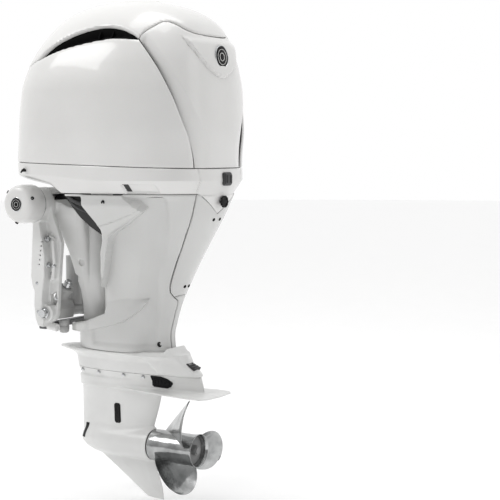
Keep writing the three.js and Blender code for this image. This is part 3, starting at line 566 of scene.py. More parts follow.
FLOOR = material("studio_floor", (0.66, 0.66, 0.66), (0.69, 0.69, 0.69), 0.8, grain=20.0,
                 bump=0.0, specular=0.2)
floor_shader = FLOOR.node_tree.nodes["Principled BSDF"].inputs
floor_shader["Emission Color"].default_value = (1, 1, 1, 1)
floor_shader["Emission Strength"].default_value = 0.36
SLOT_MATERIALS = {
    "pearl": PEARL, "white_metal": CAST_WHITE, "black_plastic": BLACK, "rubber": RUBBER,
    "cast_aluminium": ALLOY, "steel": STEEL, "stainless": STAINLESS,
    "polished_stainless": MIRROR, "bronze": BRONZE, "zinc": ZINC,
}

# ---- Camera, light, floor ----
camera_data = bpy.data.cameras.new("camera")
camera_data.lens = 93.6
camera_data.sensor_width = 36.0
camera = bpy.data.objects.new("camera", camera_data)
camera.location = (3.309, -3.993, 0.2796)
camera.rotation_euler = (math.radians(90 - 4.40), 0.0, math.radians(31.51))
bpy.context.scene.collection.objects.link(camera)
bpy.context.scene.camera = camera


def area_light(name, location, target, size, power):
    data = bpy.data.lights.new(name, "AREA")
    data.shape = "RECTANGLE"
    data.size, data.size_y = size
    data.energy = power
    light = bpy.data.objects.new(name, data)
    light.location = location
    light.rotation_euler = (Vector(target) - Vector(location)).to_track_quat("-Z", "Y").to_euler()
    bpy.context.scene.collection.objects.link(light)


area_light("key_left", (-2.2, -2.6, 2.9), (0.2, 0, 0.1), (1.6, 1.6), 44)
area_light("top_soft", (0.3, -0.2, 4.2), (0.3, 0, 0), (2.6, 2.6), 62)
area_light("rear_fill", (3.6, 0.6, 1.2), (0.4, 0, 0.1), (1.2, 2.6), 6)
BRIGHT_SIDE = (-0.42, 0.68, 0.60)
world = bpy.data.worlds.new("studio")
world.use_nodes = True
sky = world.node_tree
sky_place = add_node(sky, "TexCoord", {})
sky_dot = add_node(sky, "VectorMath", {0: sky_place.outputs["Generated"], 1: BRIGHT_SIDE},
                   operation="DOT_PRODUCT")
sky_range = add_node(sky, "MapRange", {"Value": sky_dot.outputs["Value"], "From Min": -0.6,
                                       "From Max": 0.6, "To Min": 0.27, "To Max": 1.0})
sky.links.new(sky_range.outputs["Result"], sky.nodes["Background"].inputs["Strength"])
sky.nodes["Background"].inputs["Color"].default_value = (1, 1, 1, 1)
bpy.context.scene.world = world
bpy.context.scene.view_settings.view_transform = "Standard"

FLOOR_Z = CAD_BOX[0][2] - 0.0005
angle = np.linspace(0, 2 * np.pi, 64, endpoint=False)
rim = np.stack([np.cos(angle), np.sin(angle), 0 * angle], 1)
floor_v, floor_f = net(np.stack([
    np.array([300.0, 0, FLOOR_Z / MM]) + rim * r for r in (1, 1500, 4000, 9000, 16000, 30000)
]))
floor_mesh = bpy.data.meshes.new("floor")
floor_mesh.from_pydata((floor_v * MM).tolist(), [], floor_f.tolist())
floor_mesh.materials.append(FLOOR)
floor = bpy.data.objects.new("floor", floor_mesh)
bpy.context.scene.collection.objects.link(floor)

# ---- Top cowl ----
TOP_COWL = [
    [836, 384, 388, 392, 3, 2.1, 2.1], [835.6, 330, 390, 440, 26, 2.2, 2.2],
    [826, 189, 385, 473, 70, 2.3, 2.3], [808, 145, 370, 553, 130, 2.4, 2.4],
    [776, 94, 350, 634, 185, 2.5, 2.5], [733, 58, 335, 687, 230, 2.7, 2.6],
    [666, 11, 320, 721, 272, 2.9, 2.7], [587, -25, 310, 736, 300, 3.2, 2.9],
    [495, -41, 304, 747, 316, 3.6, 3.0], [366, -44, 304, 752, 320, 4.0, 3.0],
    [229, -59, 304, 746, 314, 4.0, 3.0], [205, -59, 304, 746, 314, 4.0, 3.0],
]
SIDE_SEAM = rounded([
    [548, 674], [601, 615], [645, 553], [682, 475], [710, 381], [724, 302], [729, 150]])
HOOD_SEAM = rounded([
    [548, 674], [558, 694], [581, 717], [609, 737], [641, 729], [680, 705], [704, 693],
    [735, 687], [860, 684]])
INTAKE_TOP = rounded([
    [109, 615], [160, 653], [217, 683], [300, 711], [384, 724], [455, 716], [510, 696],
    [548, 674]])
INTAKE_LOW = rounded([[109, 615], [235, 651], [401, 678], [494, 679], [548, 674]])
HOOD_FRONT = rounded([[-140, 470], [-90, 515], [-36, 556], [40, 588], [109, 615]])
REAR_REGION = np.vstack([SIDE_SEAM, [[860, 150]], HOOD_SEAM[:0:-1]])
INTAKE_REGION = np.vstack([INTAKE_TOP, INTAKE_LOW[-2:0:-1]])
HOOD_REGION = np.vstack([HOOD_FRONT[:-1], INTAKE_TOP, HOOD_SEAM[1:], [[860, 900], [-140, 900]]])


def seam_height(x):
    """Joint between the top and lower cowls, falling slightly aft."""
    return 236 - (x + 90) * 24 / 880


def beyond(region):
    """Distance outside a region in side view, less the gap of the seam."""
    return lambda p: polygon(p[:, 0], p[:, 2], region) - SEAM_GAP


def within(region):
    return lambda p: -polygon(p[:, 0], p[:, 2], region) - SEAM_GAP


def above_seam(p):
    return p[:, 2] - seam_height(p[:, 0]) - SEAM_GAP


skin_v, skin_f = clip(*skin_of(section(sections(TOP_COWL, 150), turns(TOP_COWL[8], 400))),
                      above_seam)


def cowl_panel(name, keep, inward, replaced, wall=WALL):
    """Cuts a panel from the skin, sinks it by inward(points), and gives it a wall."""
    v, f = skin_v, skin_f
    for field in keep:
        v, f = clip(v, f, field)
    make(name, thicken(v, f, wall, inward(v[:, :3])), PEARL, "cowl", [replaced])


def side_inward(p):
    return np.maximum.reduce([
        roll(beyond(INTAKE_REGION)(p), 11.0), roll(beyond(HOOD_REGION)(p), 4.0),
        roll(beyond(REAR_REGION)(p), 3.5), roll(above_seam(p), 3.0)])


cowl_panel("cowl_side_shell", [beyond(INTAKE_REGION), beyond(HOOD_REGION), beyond(REAR_REGION)],
           side_inward, "top_cowl")


def hood_inward(p):
    intake = line_distance(p[:, 0], p[:, 2], INTAKE_TOP) - SEAM_GAP
    return np.maximum(roll(within(HOOD_REGION)(p), 4.0), roll(np.maximum(intake, 0), 9.0))


cowl_panel("cowl_hood", [within(HOOD_REGION)], hood_inward, "hood_panel", 5.0)

EMBLEM_V = rounded([[-160, 676], [-152, 665], [-144, 646], [-92, 580], [-30, 546], [0, 540],
                    [30, 546], [92, 580], [144, 646], [152, 665], [160, 676]])
EMBLEM_REGION = np.vstack([EMBLEM_V, [[160, 800], [-160, 800]]])


def rear_inward(p):
    x, y, z = p.T
    fade = smooth((z - 200) / 200)
    band = np.clip(line_distance(x, z, SIDE_SEAM) / (14 + 16 * fade), 0, 1)
    plate = smooth(-polygon(y, z, EMBLEM_REGION) / 4) * smooth((686 - z) / 30)
    chamfer = (1 - band) * (9 + 12 * fade)
    chamfer = chamfer * np.clip(line_distance(x, z, HOOD_SEAM) / 25, 0.25, 1)
    crease = 3.0 * np.exp(-((line_distance(y, z, EMBLEM_V) / 3.0) ** 2))
    rims = [roll(within(REAR_REGION)(p), 3.5), roll(above_seam(p), 3.0), chamfer]
    return np.maximum.reduce(rims) - 9.0 * plate + crease


cowl_panel("cowl_rear_panel", [within(REAR_REGION)], rear_inward, "rear_cowl_panel")


def intake_duct(side):
    v, f = clip(skin_v, skin_f, lambda p: 16 - polygon(p[:, 0], p[:, 2], INTAKE_REGION))
    v, f = clip(v, f, lambda p: side * p[:, 1] - 40)
    deep = -polygon(v[:, 0], v[:, 2], INTAKE_REGION)
    return thicken(v, f, 3.0, 14 + 22 * smooth(deep / 30))


def intake_vanes(side):
    """Upright vanes in the air intake, sunk below the skin."""
    parts = []
    for x in (372, 430):
        rings = []
        for z in np.linspace(np.interp(x, *INTAKE_LOW.T) - 6, np.interp(x, *INTAKE_TOP.T) - 4, 8):
            row = nearest(skin_v, [0, 2], (x, z), side * skin_v[:, 1] > 0)
            centre, out, along = row[:3] - row[3:] * 27.0, row[3:] * 11, np.array([2.0, 0, 0])
            rings.append([centre + out + along, centre + out - along,
                          centre - out - along, centre - out + along])
        v, f = net(np.array(rings))
        caps = np.array([[0, 1, 2], [0, 2, 3]])
        parts.append((v, np.vstack([f, caps[:, ::-1], caps + len(v) - 4])))
    return merged(*parts)


for side, side_name in SIDE_NAMES.items():
    make(f"intake_duct_{side_name}", intake_duct(side), DUCT_BLACK, "cowl",
         [f"air_intake_{side_name}"])
    make(f"intake_vanes_{side_name}", intake_vanes(side), DUCT_BLACK, "cowl")


def emblem(name, origin, axis, radius, body, proud=3.0):
    """A plain roundel: pale ring, black field, raised ring and hub. It carries no mark."""
    def turned(*profile):
        return lathe([[a * proud, r * radius] for a, r in profile], origin, axis, 72)

    make(f"{name}_rim", turned((-1, 0), (-1, 1), (0.6, 1), (1, 0.975), (1, 0.93), (0.5, 0.91),
                               (0.5, 0)), STAINLESS, body)
    make(f"{name}_field", turned((-1, 0), (-1, 0.90), (0.8, 0.90), (0.95, 0.87), (0.8, 0)),
         GLOSS_BLACK, body)
    rings = [turned((0.7, r), (0.7, r + w), (1.2, r + w - 0.01), (1.2, r + 0.01), (0.7, r))
             for r, w in ((0.62, 0.05), (0.30, 0.06))]
    make(f"{name}_rings", merged(*rings), PEARL, body)


emblem("rear_roundel", (740.5, 0, 615), (1, 0, 0.075), 43, "cowl")

# ---- Lower cowl ----
LOWER_COWL = [
    [236, -59, 304, 746, 314, 4, 3], [170, -58, 304, 749, 311, 4, 3.0],
    [118, -34, 304, 742, 268, 3.4, 2.4],
]
UNDERSIDE = np.array([[-120, 196], [-60, 193], [30, 180], [120, 163], [178, 152], [215, 118],
                      [235, 30], [800, 30]], float)
APRON = [
    [117.6, 60, 304, 745, 266, 3.5, 2.5], [40, 62, 304, 718, 225, 3, 2.4],
    [-40, 64, 302, 678, 192, 3, 2.3], [-120, 66, 300, 636, 166, 3, 2.2],
    [-200, 70, 298, 597, 146, 3, 2.1], [-280, 76, 296, 561, 128, 3, 2.0],
    [-360, 84, 295, 535, 113, 2.4, 2], [-420, 90, 295, 522, 103, 2, 2],
    [-484, 90, 295, 528, 96, 2, 2],
]


def wedge_half(z):
    """Half width of the rear panel, measured across the motor."""
    return np.interp(z, [-500, -300, -283, -268, -252, -230, -203, -85, 20, 123, 212],
                     [11, 13, 17, 38, 54, 63, 69, 86, 106, 128, 143])


def rear_v(y):
    """Lower edge of the lower cowl on the rear face: a V that holds the flushing plug."""
    return 45 + np.abs(y) * 76 / 120


def lower_skin():
    angles = turns(LOWER_COWL[0], 430)
    levels = section(np.array(LOWER_COWL, float), angles)
    x = levels[1, :, 0]
    levels[0, :, 2] = seam_height(levels[0, :, 0]) - 1.0
    levels[1, :, 2] = 170 + 20 * smooth((430 - x) / 330)
    t = np.linspace(0, 1, 14)[:, None, None]
    band = levels[1] + (levels[2] - levels[1]) * t[1:]
    grid = np.concatenate([levels[0] + (levels[1] - levels[0]) * t, band])
    tab_rows = sections(APRON, 130)
    tab_rows = tab_rows[tab_rows[:, 0] > 30][1:]
    grid = np.concatenate([grid, section(tab_rows, angles)])
    return skin_of(grid)


def tab_field(p):
    """Keeps the band above the apron and the V on the rear face."""
    limit = np.where(p[:, 0] > REAR_FACE, np.minimum(rear_v(p[:, 1]), 121), 121)
    return p[:, 2] - limit - SEAM_GAP * 0.5


def under_field(p):
    return p[:, 2] - np.interp(p[:, 0], UNDERSIDE[:, 0], UNDERSIDE[:, 1])


def box_depth(u, w, u0, u1, w0, w1, ramp):
    """0 outside a rectangle, rising to 1 inside it over a ramp."""
    inside = np.minimum(np.minimum(u - u0, u1 - u), np.minimum(w - w0, w1 - w))
    return smooth(inside / ramp)


def lower_inward(p):
    x, y, z = p.T
    top = roll(seam_height(x) - 1.0 - z, 3.0)
    groove = 4.0 * np.exp(-(((np.abs(y) - wedge_half(z)) / 3.2) ** 2)) * (x > REAR_FACE)
    pocket = 9.0 * box_depth(x, z, 496, 622, 119, 158, 7.0) * (y < 0)
    slot = 2.0 * box_depth(x, z, 480, 576, 112, 124.0, 2.5) * (y < 0)
    edge = roll(tab_field(p), 3.0) * (x > 300)
    return np.maximum.reduce([top, groove, pocket, slot, edge])


low_v, low_f = clip(*clip(*lower_skin(), tab_field), under_field)
make("lower_cowl_skin", thicken(low_v, low_f, 5.0, lower_inward(low_v[:, :3])), PEARL, "leg",
     ["lower_cowl"])


def cowl_inlay(name, x0, x1, z0, z1, proud, finish):
    """A thin plate that follows the port side of the lower cowl."""
    v, f = clip(low_v, low_f, lambda p: np.minimum.reduce([
        p[:, 0] - x0, x1 - p[:, 0], p[:, 2] - z0, z1 - p[:, 2], -p[:, 1] - 40]))
    make(name, thicken(v, f, 1.6, lower_inward(v[:, :3]) - proud), finish, "leg")


cowl_inlay("cowl_side_pocket_pad", 502, 522, 125.5, 156, 0.8, DARK_GREY)
cowl_inlay("cowl_side_slot", 484, 572, 119.0, 121.8, 0.6, BLACK)


def tray():
    """The floor of the lower cowl, sloping up at the front, with the hole for the case."""
    gx, gy = np.meshgrid(np.arange(-60, 750, 6.0), np.arange(-306, 306.1, 6.0), indexing="ij")
    gz = np.maximum(np.interp(gx, *UNDERSIDE.T), 122.0)
    v, f = net(np.stack([gx, gy, gz], -1), closed=False)

    def in_cowl(p):
        return (1 - ellipse_ratio(p[:, 0], p[:, 1], p[:, 2], LOWER_COWL, 3)[0]) * 250

    def off_case(p):
        x, y = np.abs(p[:, 0, None] - [352, KING_X]), np.abs(p[:, 1, None])
        return np.maximum(x - [148, 55], y - [125, 112]).min(1)

    v, f = clip(*clip(v, f, in_cowl), off_case)
    return thicken(np.hstack([v, np.tile([0, 0, -1.0], (len(v), 1))]), f[:, ::-1], 5.0)


make("cowl_tray", tray(), CAST_WHITE, "leg")

# ---- Apron ----
APRON_FRONT = np.array([
    [-100, 200], [286, 200], [298, 112], [306, 84], [326, 50], [345, 20], [350, -8],
    [338, -50], [314, -100], [297, -180], [286, -338], [200, -368], [60, -392], [-100, -392]],
    float)
# Outline of the opening in front of the apron, filled by a black sheet as painted shade.
SHADE_SHEET_OUTLINE = np.array([
    [206, 140], [209, 108], [226, 66], [250, 28], [285, -6], [330, -36], [354, -44], [354, 40],
    [335, 140]],
    float)
APRON_FOOT = np.array([[0, -500], [0, -484], [440, -484], [519, -474], [536, -455], [640, -455],
                       [640, -520], [0, -520]], float)
PLATEAU = rounded([[190, 140], [440, 140], [484, 110], [520, 92], [532, 80], [520, 66], [451, 38],
                   [361, 10], [318, 6], [290, 22], [240, 70]], 6)
RIDGE = rounded([[548, 62], [455, 3], [385, -36], [360, -74], [344, -115], [322, -180],
                 [300, -230], [276, -250]], 6)
RIDGE_REGION = np.vstack([RIDGE, [[180, -250], [180, 140], [440, 140], [484, 112], [524, 92]]])
FIN_TOP = rounded([[240, -302], [297, -296], [392, -279], [478, -280]], 6)
FIN_LOW = rounded([[478, -280], [462, -300], [435, -325], [365, -367], [276, -392], [177, -413],
                   [80, -420]], 6)
FIN_REGION = np.vstack([FIN_TOP, FIN_LOW[1:], [[80, -330]]])
VALLEY = rounded([[610, 112], [590, 40], [560, -28], [536, -122], [505, -218], [482, -315],
                  [452, -412], [446, -490]], 6)
CREASE = rounded([[640, 130], [638, 111], [622, 19], [580, -100], [540, -200], [512, -330],
                  [496, -412], [512, -470]], 6)


def apron_relief(x, z):
    """How far the side panels stand out from the smooth body."""
    to_plateau = polygon(x, z, PLATEAU)
    to_ridge = -polygon(x, z, RIDGE_REGION)
    plateau = smooth(-to_plateau / 4.0)
    fold = np.clip(to_ridge / (np.maximum(to_plateau, 0) + np.maximum(to_ridge, 0) + 1e-6), 0, 1)
    shelf = smooth(to_ridge / 3.0) * (9 + 22 * fold) + 9 * np.exp(-(((to_ridge - 5) / 4.5) ** 2))
    top = line_distance(x, z, FIN_TOP)
    low = line_distance(x, z, FIN_LOW)
    fin = np.where(polygon(x, z, FIN_REGION) < 0, 1.0, 0.0) * smooth(low / 5.0)
    fin = fin * top / (top + low + 1e-6)
    behind = polygon(x, z, np.vstack([CREASE, [[200, -470], [200, 130]]]))
    valley = np.exp(-((line_distance(x, z, VALLEY) / 40.0) ** 2))
    step = smooth((-behind) / 20.0)
    near = np.clip(1 - line_distance(x, z, RIDGE) / 130.0, 0, 1) * smooth(-to_ridge / 4.0)
    raised = np.maximum(34 * plateau, np.where(to_plateau > 0, shelf, 29.0))
    raised = np.minimum(raised, 9 + 25 * smooth((117 - z) / 30))
    sunk = 16 * valley + 7 * step + 14 * step * near
    return raised + 32 * fin - sunk * smooth((118 - z) / 30)


apron_v, apron_f = skin_of(section(sections(APRON, 170), turns(APRON[2], 420)))
apron_v, apron_f = clip(apron_v, apron_f, lambda p: beyond(APRON_FRONT)(p) + SEAM_GAP)
apron_v, apron_f = clip(apron_v, apron_f, lambda p: beyond(APRON_FOOT)(p) + SEAM_GAP - 1.0)


def beside_wedge(p):
    """Positive outside the rear panel."""
    return np.where(p[:, 0] < WEDGE_START, 60.0, np.abs(p[:, 1]) - wedge_half(p[:, 2]))


def apron_outward(p, side_panel):
    x, y, z = p.T
    relief = apron_relief(x, z) * smooth(np.abs(y) / 40) if side_panel else 0 * x
    gap = np.abs(beside_wedge(p)) - PANEL_GAP
    rims = np.maximum(roll(np.maximum(gap, 0), 4.0), roll(116 - z, 2.5))
    front = roll(np.maximum(polygon(x, z, APRON_FRONT), 0), 7.0)
    return relief - rims - front


def below_cowl(p):
    return -tab_field(p) - COWL_GAP


for side, side_name in SIDE_NAMES.items():
    v, f = clip(apron_v, apron_f, lambda p: side * p[:, 1] - 0.2)
    v, f = clip(*clip(v, f, lambda p: beside_wedge(p) - PANEL_GAP), below_cowl)
    out = apron_outward(v[:, :3], True)[:, None] * v[:, 3:]
    out[:, 1] = np.where(side * v[:, 1] < 0.5, 0, out[:, 1])
    shape = thicken(v + np.hstack([out, 0 * out]), f, WALL)
    # The darker pearl paints the apron's shade onto the side panels.
    make(f"apron_side_{side_name}", shape, APRON_SHADE_PEARL, "leg", [f"apron_{side_name}"])

back_v, back_f = clip(*clip(apron_v, apron_f, lambda p: -beside_wedge(p) - PANEL_GAP), below_cowl)
for name, sign in (("apron_rear_cover", 1), ("apron_rear_strip", -1)):
    def from_joint(p):
        """Distance from the joint between the rear cover and the strip under it."""
        return sign * (p[:, 2] - REAR_JOINT_Z + 0.004 * p[:, 1] ** 2) - 1.0

    v, f = clip(back_v, back_f, from_joint)
    sink = roll(from_joint(v), 3.0) - apron_outward(v[:, :3], False)
    # The darker pearl paints the apron's shade onto the rear cover and the strip.
    make(name, thicken(v, f, WALL, sink), APRON_SHADE_PEARL, "leg", ["apron_rear_panel"])

# ---- Gearcase and upper case ----
PLATE_PLAN = [[150, 0], [181, 11], [363, 61], [534, 93], [648, 107], [706, 104], [728, 80],
              [736, 0], [736, -1], [150, -1]]
STRUT_TOP = [
    [-566.5, 72, 300, 648, 60, 2, 2], [-590, 84, 300, 656, 46, 2, 1.8],
    [-618, 88, 300, 664, 44, 2, 1.6], [-634, 90, 300, 668, 50, 2, 1.6]]
STRUT = [
    [-600, 88, 270, 560, 44, 2, 1.6], [-642, 90, 270, 470, 42, 2, 1.6],
    [-700, 90, 268, 455, 38, 2, 1.6], [-773, 90, 265, 432, 35, 2, 1.6],
    [-830, 92, 262, 428, 36, 2, 1.6], [-850, 94, 262, 426, 36, 2, 1.6]]
TORPEDO = np.array([[90, 0], [94, 14], [106, 28], [130, 42], [165, 53], [205, 59], [250, 60],
                    [390, 60], [430, 59]], float)
SKEG = [[120, -872], [165, -895], [290, -975], [400, -1049], [440, -1053.5], [476, -1054],
        [470, -1010], [452, -952], [434, -914], [428, -900], [424, -850], [200, -850]]


def gearcase_field(x, y, z):
    """Strut, torpedo, skeg and the plate above the propeller, bored for the shaft."""
    p = (x, y, z)
    radius = np.interp(x, TORPEDO[:, 0], TORPEDO[:, 1])
    torpedo = smax(np.hypot(y, z - PROP_Z) - radius, np.maximum(90 - x, x - 430), 1.0)
    strut = loft(p, STRUT)
    skeg_side = polygon(x, z, SKEG)
    half = np.clip(1.6 - skeg_side * 0.16, 1.4, 7.5)
    skeg = smax(skeg_side, np.abs(y) - half, 1.0)
    plate_edge = polygon(x, np.abs(y), PLATE_PLAN)
    plate_half = np.clip(2.2 - plate_edge * 0.12, 2.0, 5.5)
    plate = smax(plate_edge, np.abs(z - PLATE_Z) - plate_half, 1.0)
    body = smin(smin(torpedo, strut, 16), skeg, 12)
    body = smin(smin(body, plate, 12), loft(p, STRUT_TOP), 9)
    bore = np.maximum(np.hypot(y, z - PROP_Z) - 50, np.maximum(205 - x, x - 500))
    return smax(body, -bore, 1.0)


def column_field(x, y, z):
    """The upper case: hollow column, flange, splash plate, skirt and heel."""
    p = (x, y, z)
    column = loft(p, [
        [104, 228, 350, 480, 75, 4, 3], [-300, 228, 350, 472, 66, 4, 2.6],
        [-485, 228, 350, 478, 60, 4, 2.4]])
    hollow = loft(p, [
        [140, 237, 350, 471, 66, 4, 3], [-300, 237, 350, 463, 57, 4, 2.6],
        [-484, 237, 350, 469, 51, 4, 2.4]])
    flange = flat(p, [[228, 0], [228, 108], [470, 112], [492, 60], [492, -1], [228, -1]],
                        86, 103.6)
    skirt = loft(p, [
        [-497, 62, 300, 566, 84, 2, 2], [-520, 66, 300, 592, 68, 2, 2],
        [-538, 68, 300, 630, 64, 2, 2], [-566, 72, 300, 648, 60, 2, 2]])
    plan = polygon(x, np.abs(y), [
        [-19, 0], [-4, 22], [60, 52], [180, 86], [300, 100], [440, 99], [530, 76], [572, 34],
        [582, 0], [582, -1], [-19, -1]])
    plate_half = np.clip(3.0 - plan * 0.22, 2.8, 8.0)
    splash = smax(plan, np.abs(z + 492) - plate_half, 1.5)
    heel_side = polygon(x, z, [[430, -488], [430, -484], [519, -475.5], [533, -459.5],
                               [594, -522], [640, -560], [500, -560]])
    heel_half = np.interp(x, [430, 519, 560, 600, 640], [84, 66, 50, 34, 20])
    heel = smax(heel_side, np.abs(y) - heel_half, 8.0)
    case = smin(smin(splash, skirt, 26), heel, 14)
    case = smin(smin(case, column, 8), flange, 8)
    case = smax(case, -hollow, 2)
    return smax(case, CASE_FOOT - z, 1.0)


def cast(name, field, low, high, step, finish, body, replaces=(), sharp=50):
    shape = surface(field, low, high, step * (1.0))
    make(name, shape, finish, body, replaces, sharp)


cast("gearcase_casting", gearcase_field, (66, -112, -1058), (742, 112, -562), 3.0, CAST_WHITE,
     "leg", ["gearcase"])
cast("upper_case_casting", column_field, (-24, -116, -570), (652, 116, 108), 4.0, CAST_WHITE,
     "leg", ["upper_case"])

# ---- Clamp brackets ----
CLAMP_FACE = [
    [-60, 0], [-60, 15], [-32, 48], [-52, 90], [-38, 120], [0, 134], [38, 120], [58, 88],
    [66, 30], [92, -32], [108, -73], [100, -150], [96, -200], [92, -240], [88, -300], [84, -345],
    [70, -372], [40, -390], [14, -394], [8, -330], [4, -262], [-12.8, -205], [0, 0]]
FRONT_LEG = [
    [0, 14], [0, 0], [-12.8, -204.8], [-6, -240], [4, -262], [2, -318], [8, -368], [20, -394],
    [44, -398], [50, -372], [40, -330], [44, -262], [54, -205], [56, -120], [40, -40], [30, 14]]


def clamp_field(side):
    def field(x, y, z):
        y = side * y
        p = (x, y, z)
        plate = upright(p, CLAMP_FACE, 130, 148, 2.5)
        boss = rod(p, (0, 130, TILT_Z), (0, 190, TILT_Z), 61, 3.0)
        pad = upright(p, FRONT_LEG, 140, 189, 4.0)
        hook = block(p, (-60, 130, 0), (10, 190, 15), 3.0)
        foot = rod(p, (PIN_X, 130, PIN_Z), (PIN_X, 172, PIN_Z), 34, 3.0)
        web = upright(p, [[-48, 8], [40, 8], [46, 60], [-46, 60]], 132, 188, 4.0)
        rib = upright(p, [[60, -40], [84, -60], [92, -150], [84, -212], [60, -226],
                             [70, -205], [78, -150], [72, -70]], 140, 168, 3.0)
        toe = rod(p, (30, 140, -398), (78, 140, -404), 15, 4.0)
        body = smin(smin(plate, boss, 8), pad, 9)
        for part in (hook, foot, web, rib, toe):
            body = smin(body, part, 8)
        window = upright(p, [[52, -276], [80, -262], [84, -300], [74, -318], [52, -316]],
                            100, 220, 6.0)
        bore = rod(p, (0, 100, TILT_Z), (0, 220, TILT_Z), 46, 0.5)
        pin = rod(p, (PIN_X, 100, PIN_Z), (PIN_X, 220, PIN_Z), 16.5, 0.5)
        body = carve(body, 1.0, bore, pin)
        for z0 in BOLT_HEIGHTS:
            body = carve(body, 1.0, rod(p, (-60, BOLT_Y, z0), (90, BOLT_Y, z0), 6.5, 0.5))
        for k in range(6):
            at, height = 44 - 2.8 * k, -68 - 17.8 * k
            body = carve(body, 0.5, rod(p, (at, 176, height), (at, 200, height), 3.6, 0.5))
        transom = np.where((z < 0) & (y > 129), np.minimum(z, 0) / 16 - x, -50.0)
        return smax(np.maximum(body, transom), -window, 1.5)
    return field


for side, side_name in SIDE_NAMES.items():
    low_y, high_y = sorted((side * 126, side * 194))
    cast(f"clamp_casting_{side_name}", clamp_field(side), (-64, low_y, -422), (112, high_y, 138),
         2.6, CAST_WHITE, "transom_bracket", [f"clamp_bracket_{side_name}"])

# ---- Swivel bracket ----
SWIVEL_SIDE = [
    [-10, 28], [6, 92], [60, 92], [150, 66], [196, 20], [214, -30], [220, -100], [222, -240],
    [214, -300], [200, -340], [196, -386], [116, -386], [112, -330], [120, -262], [104, -180],
    [84, -110], [50, -30], [26, 0]]


def swivel_field(x, y, z):
    """Tilt tube, king pin housing, and the hollows for what turns in them."""
    p = (x, y, z)
    housing = rod(p, (0, -124, TILT_Z), (0, 124, TILT_Z), 62, 3.0)
    half = np.interp(z, [-390, -330, -270, -200, -60, 30, 100], [34, 36, 58, 78, 96, 112, 118])
    outline = polygon(x, z, SWIVEL_SIDE)
    body = smax(outline, np.abs(y) - half + np.clip((x - 150) * 0.35, 0, 60), 22.0)
    tube = rod(p, (KING_X, 0, -385), (KING_X, 0, 60), 41, 3.0)
    case = smin(smin(housing, body, 16), tube, 14)
    hollow = upright(p, [[-80, 4], [96, 4], [112, -150], [116, -232], [100, -420], [-80, -420]],
                        -43, 43, 8.0)
    rams = [rod(p, (64, s, -270), (108, s, -194), 30, 1.0) for s in (-RAM_Y, RAM_Y)]
    bore = rod(p, (0, -140, TILT_Z), (0, 140, TILT_Z), 51, 0.5)
    king = rod(p, (KING_X, 0, -420), (KING_X, 0, 110), 36, 0.5)
    slot = block(p, (-15, -105, TILT_Z + 20), (15, 105, TILT_Z + 100), 4.0)
    pins = [rod(p, (41, s * 20, -7), (41, s * 61, -7), 24, 0.5) for s in (-1, 1)]
    side_pit = [rod(p, (150, s * 74, -152), (150, s * 110, -152), 13, 2.0) for s in (-1, 1)]
    top = np.where(x > 40, z - 60 - np.clip((120 - x) * 0.4, 0, 40), -50.0)
    case = smax(case, top, 3.0)
    case = smax(case, np.minimum(np.hypot(x - KING_X, y) - 69.5, x - KING_X - 22), 16.0)
    lever_pocket = upright(p, [[56, 38], [92, 36], [114, -70], [104, -94], [74, -96], [6, -96],
                                  [-40, -62], [-34, -26], [40, 14]], 54, 79, 3.0)
    return carve(case, 2.0, hollow, bore, king, slot, lever_pocket, *pins, *rams, *side_pit)


cast("swivel_casting", swivel_field, (-66, -128, -390), (228, 128, 140), 3.0, CAST_WHITE,
     "swivel", ["swivel_bracket"])

# ---- Power trim unit ----
def ram_point(distance, y):
    return (30 + 0.5 * distance, y, -330 + math.sqrt(0.75) * distance)


def trim_field(x, y, z):
    p = (x, y, z)
    case = upright(p, [[14, -372], [76, -372], [84, -334], [70, -304], [16, -312]], -127, 127, 6.0)
    for ram in (-RAM_Y, RAM_Y):
        case = smin(case, rod(p, ram_point(-24, ram), ram_point(92, ram), 27, 3.0), 12)
        case = smin(case, rod(p, ram_point(80, ram), ram_point(90, ram), 30, 1.5), 3)
    case = carve(case, 3.0, block(p, (-20, -41, -420), (130, 41, -190), 4.0))
    for ram, recess in ((-RAM_Y, -84), (RAM_Y, 84)):
        case = carve(case, 1, rod(p, ram_point(20, ram), ram_point(110, ram), 17.5, 0.5))
        case = carve(case, 2.0, block(p, (26, recess - 34, -400), (70, recess + 34, -352), 5.0))
    return carve(case, 1.0, rod(p, (PIN_X, -140, PIN_Z), (PIN_X, 140, PIN_Z), 16.5, 0.5))


cast("trim_unit_casting", trim_field, (4, -130, -384), (112, 130, -236), 2.6, GREY_CAST,
     "transom_bracket", ["trim_unit"])


def anode_field(x, y, z):
    p = (x, y, z)
    bar = block(p, (-1, -159, -411), (33, 159, -388), 5.0)
    groove = block(p, (9, -149, -424), (23, 149, -405), 3.0)
    holes = [rod(p, (16, y0, -420), (16, y0, -380), 5, 0.5) for y0 in (-100, 100)]
    return carve(carve(bar, 2.0, groove), 1.0, *holes)


cast("bracket_anode_bar", anode_field, (-3, -161, -413), (35, 161, -385), 2.6, ZINC,
     "transom_bracket", ["bracket_anode"])

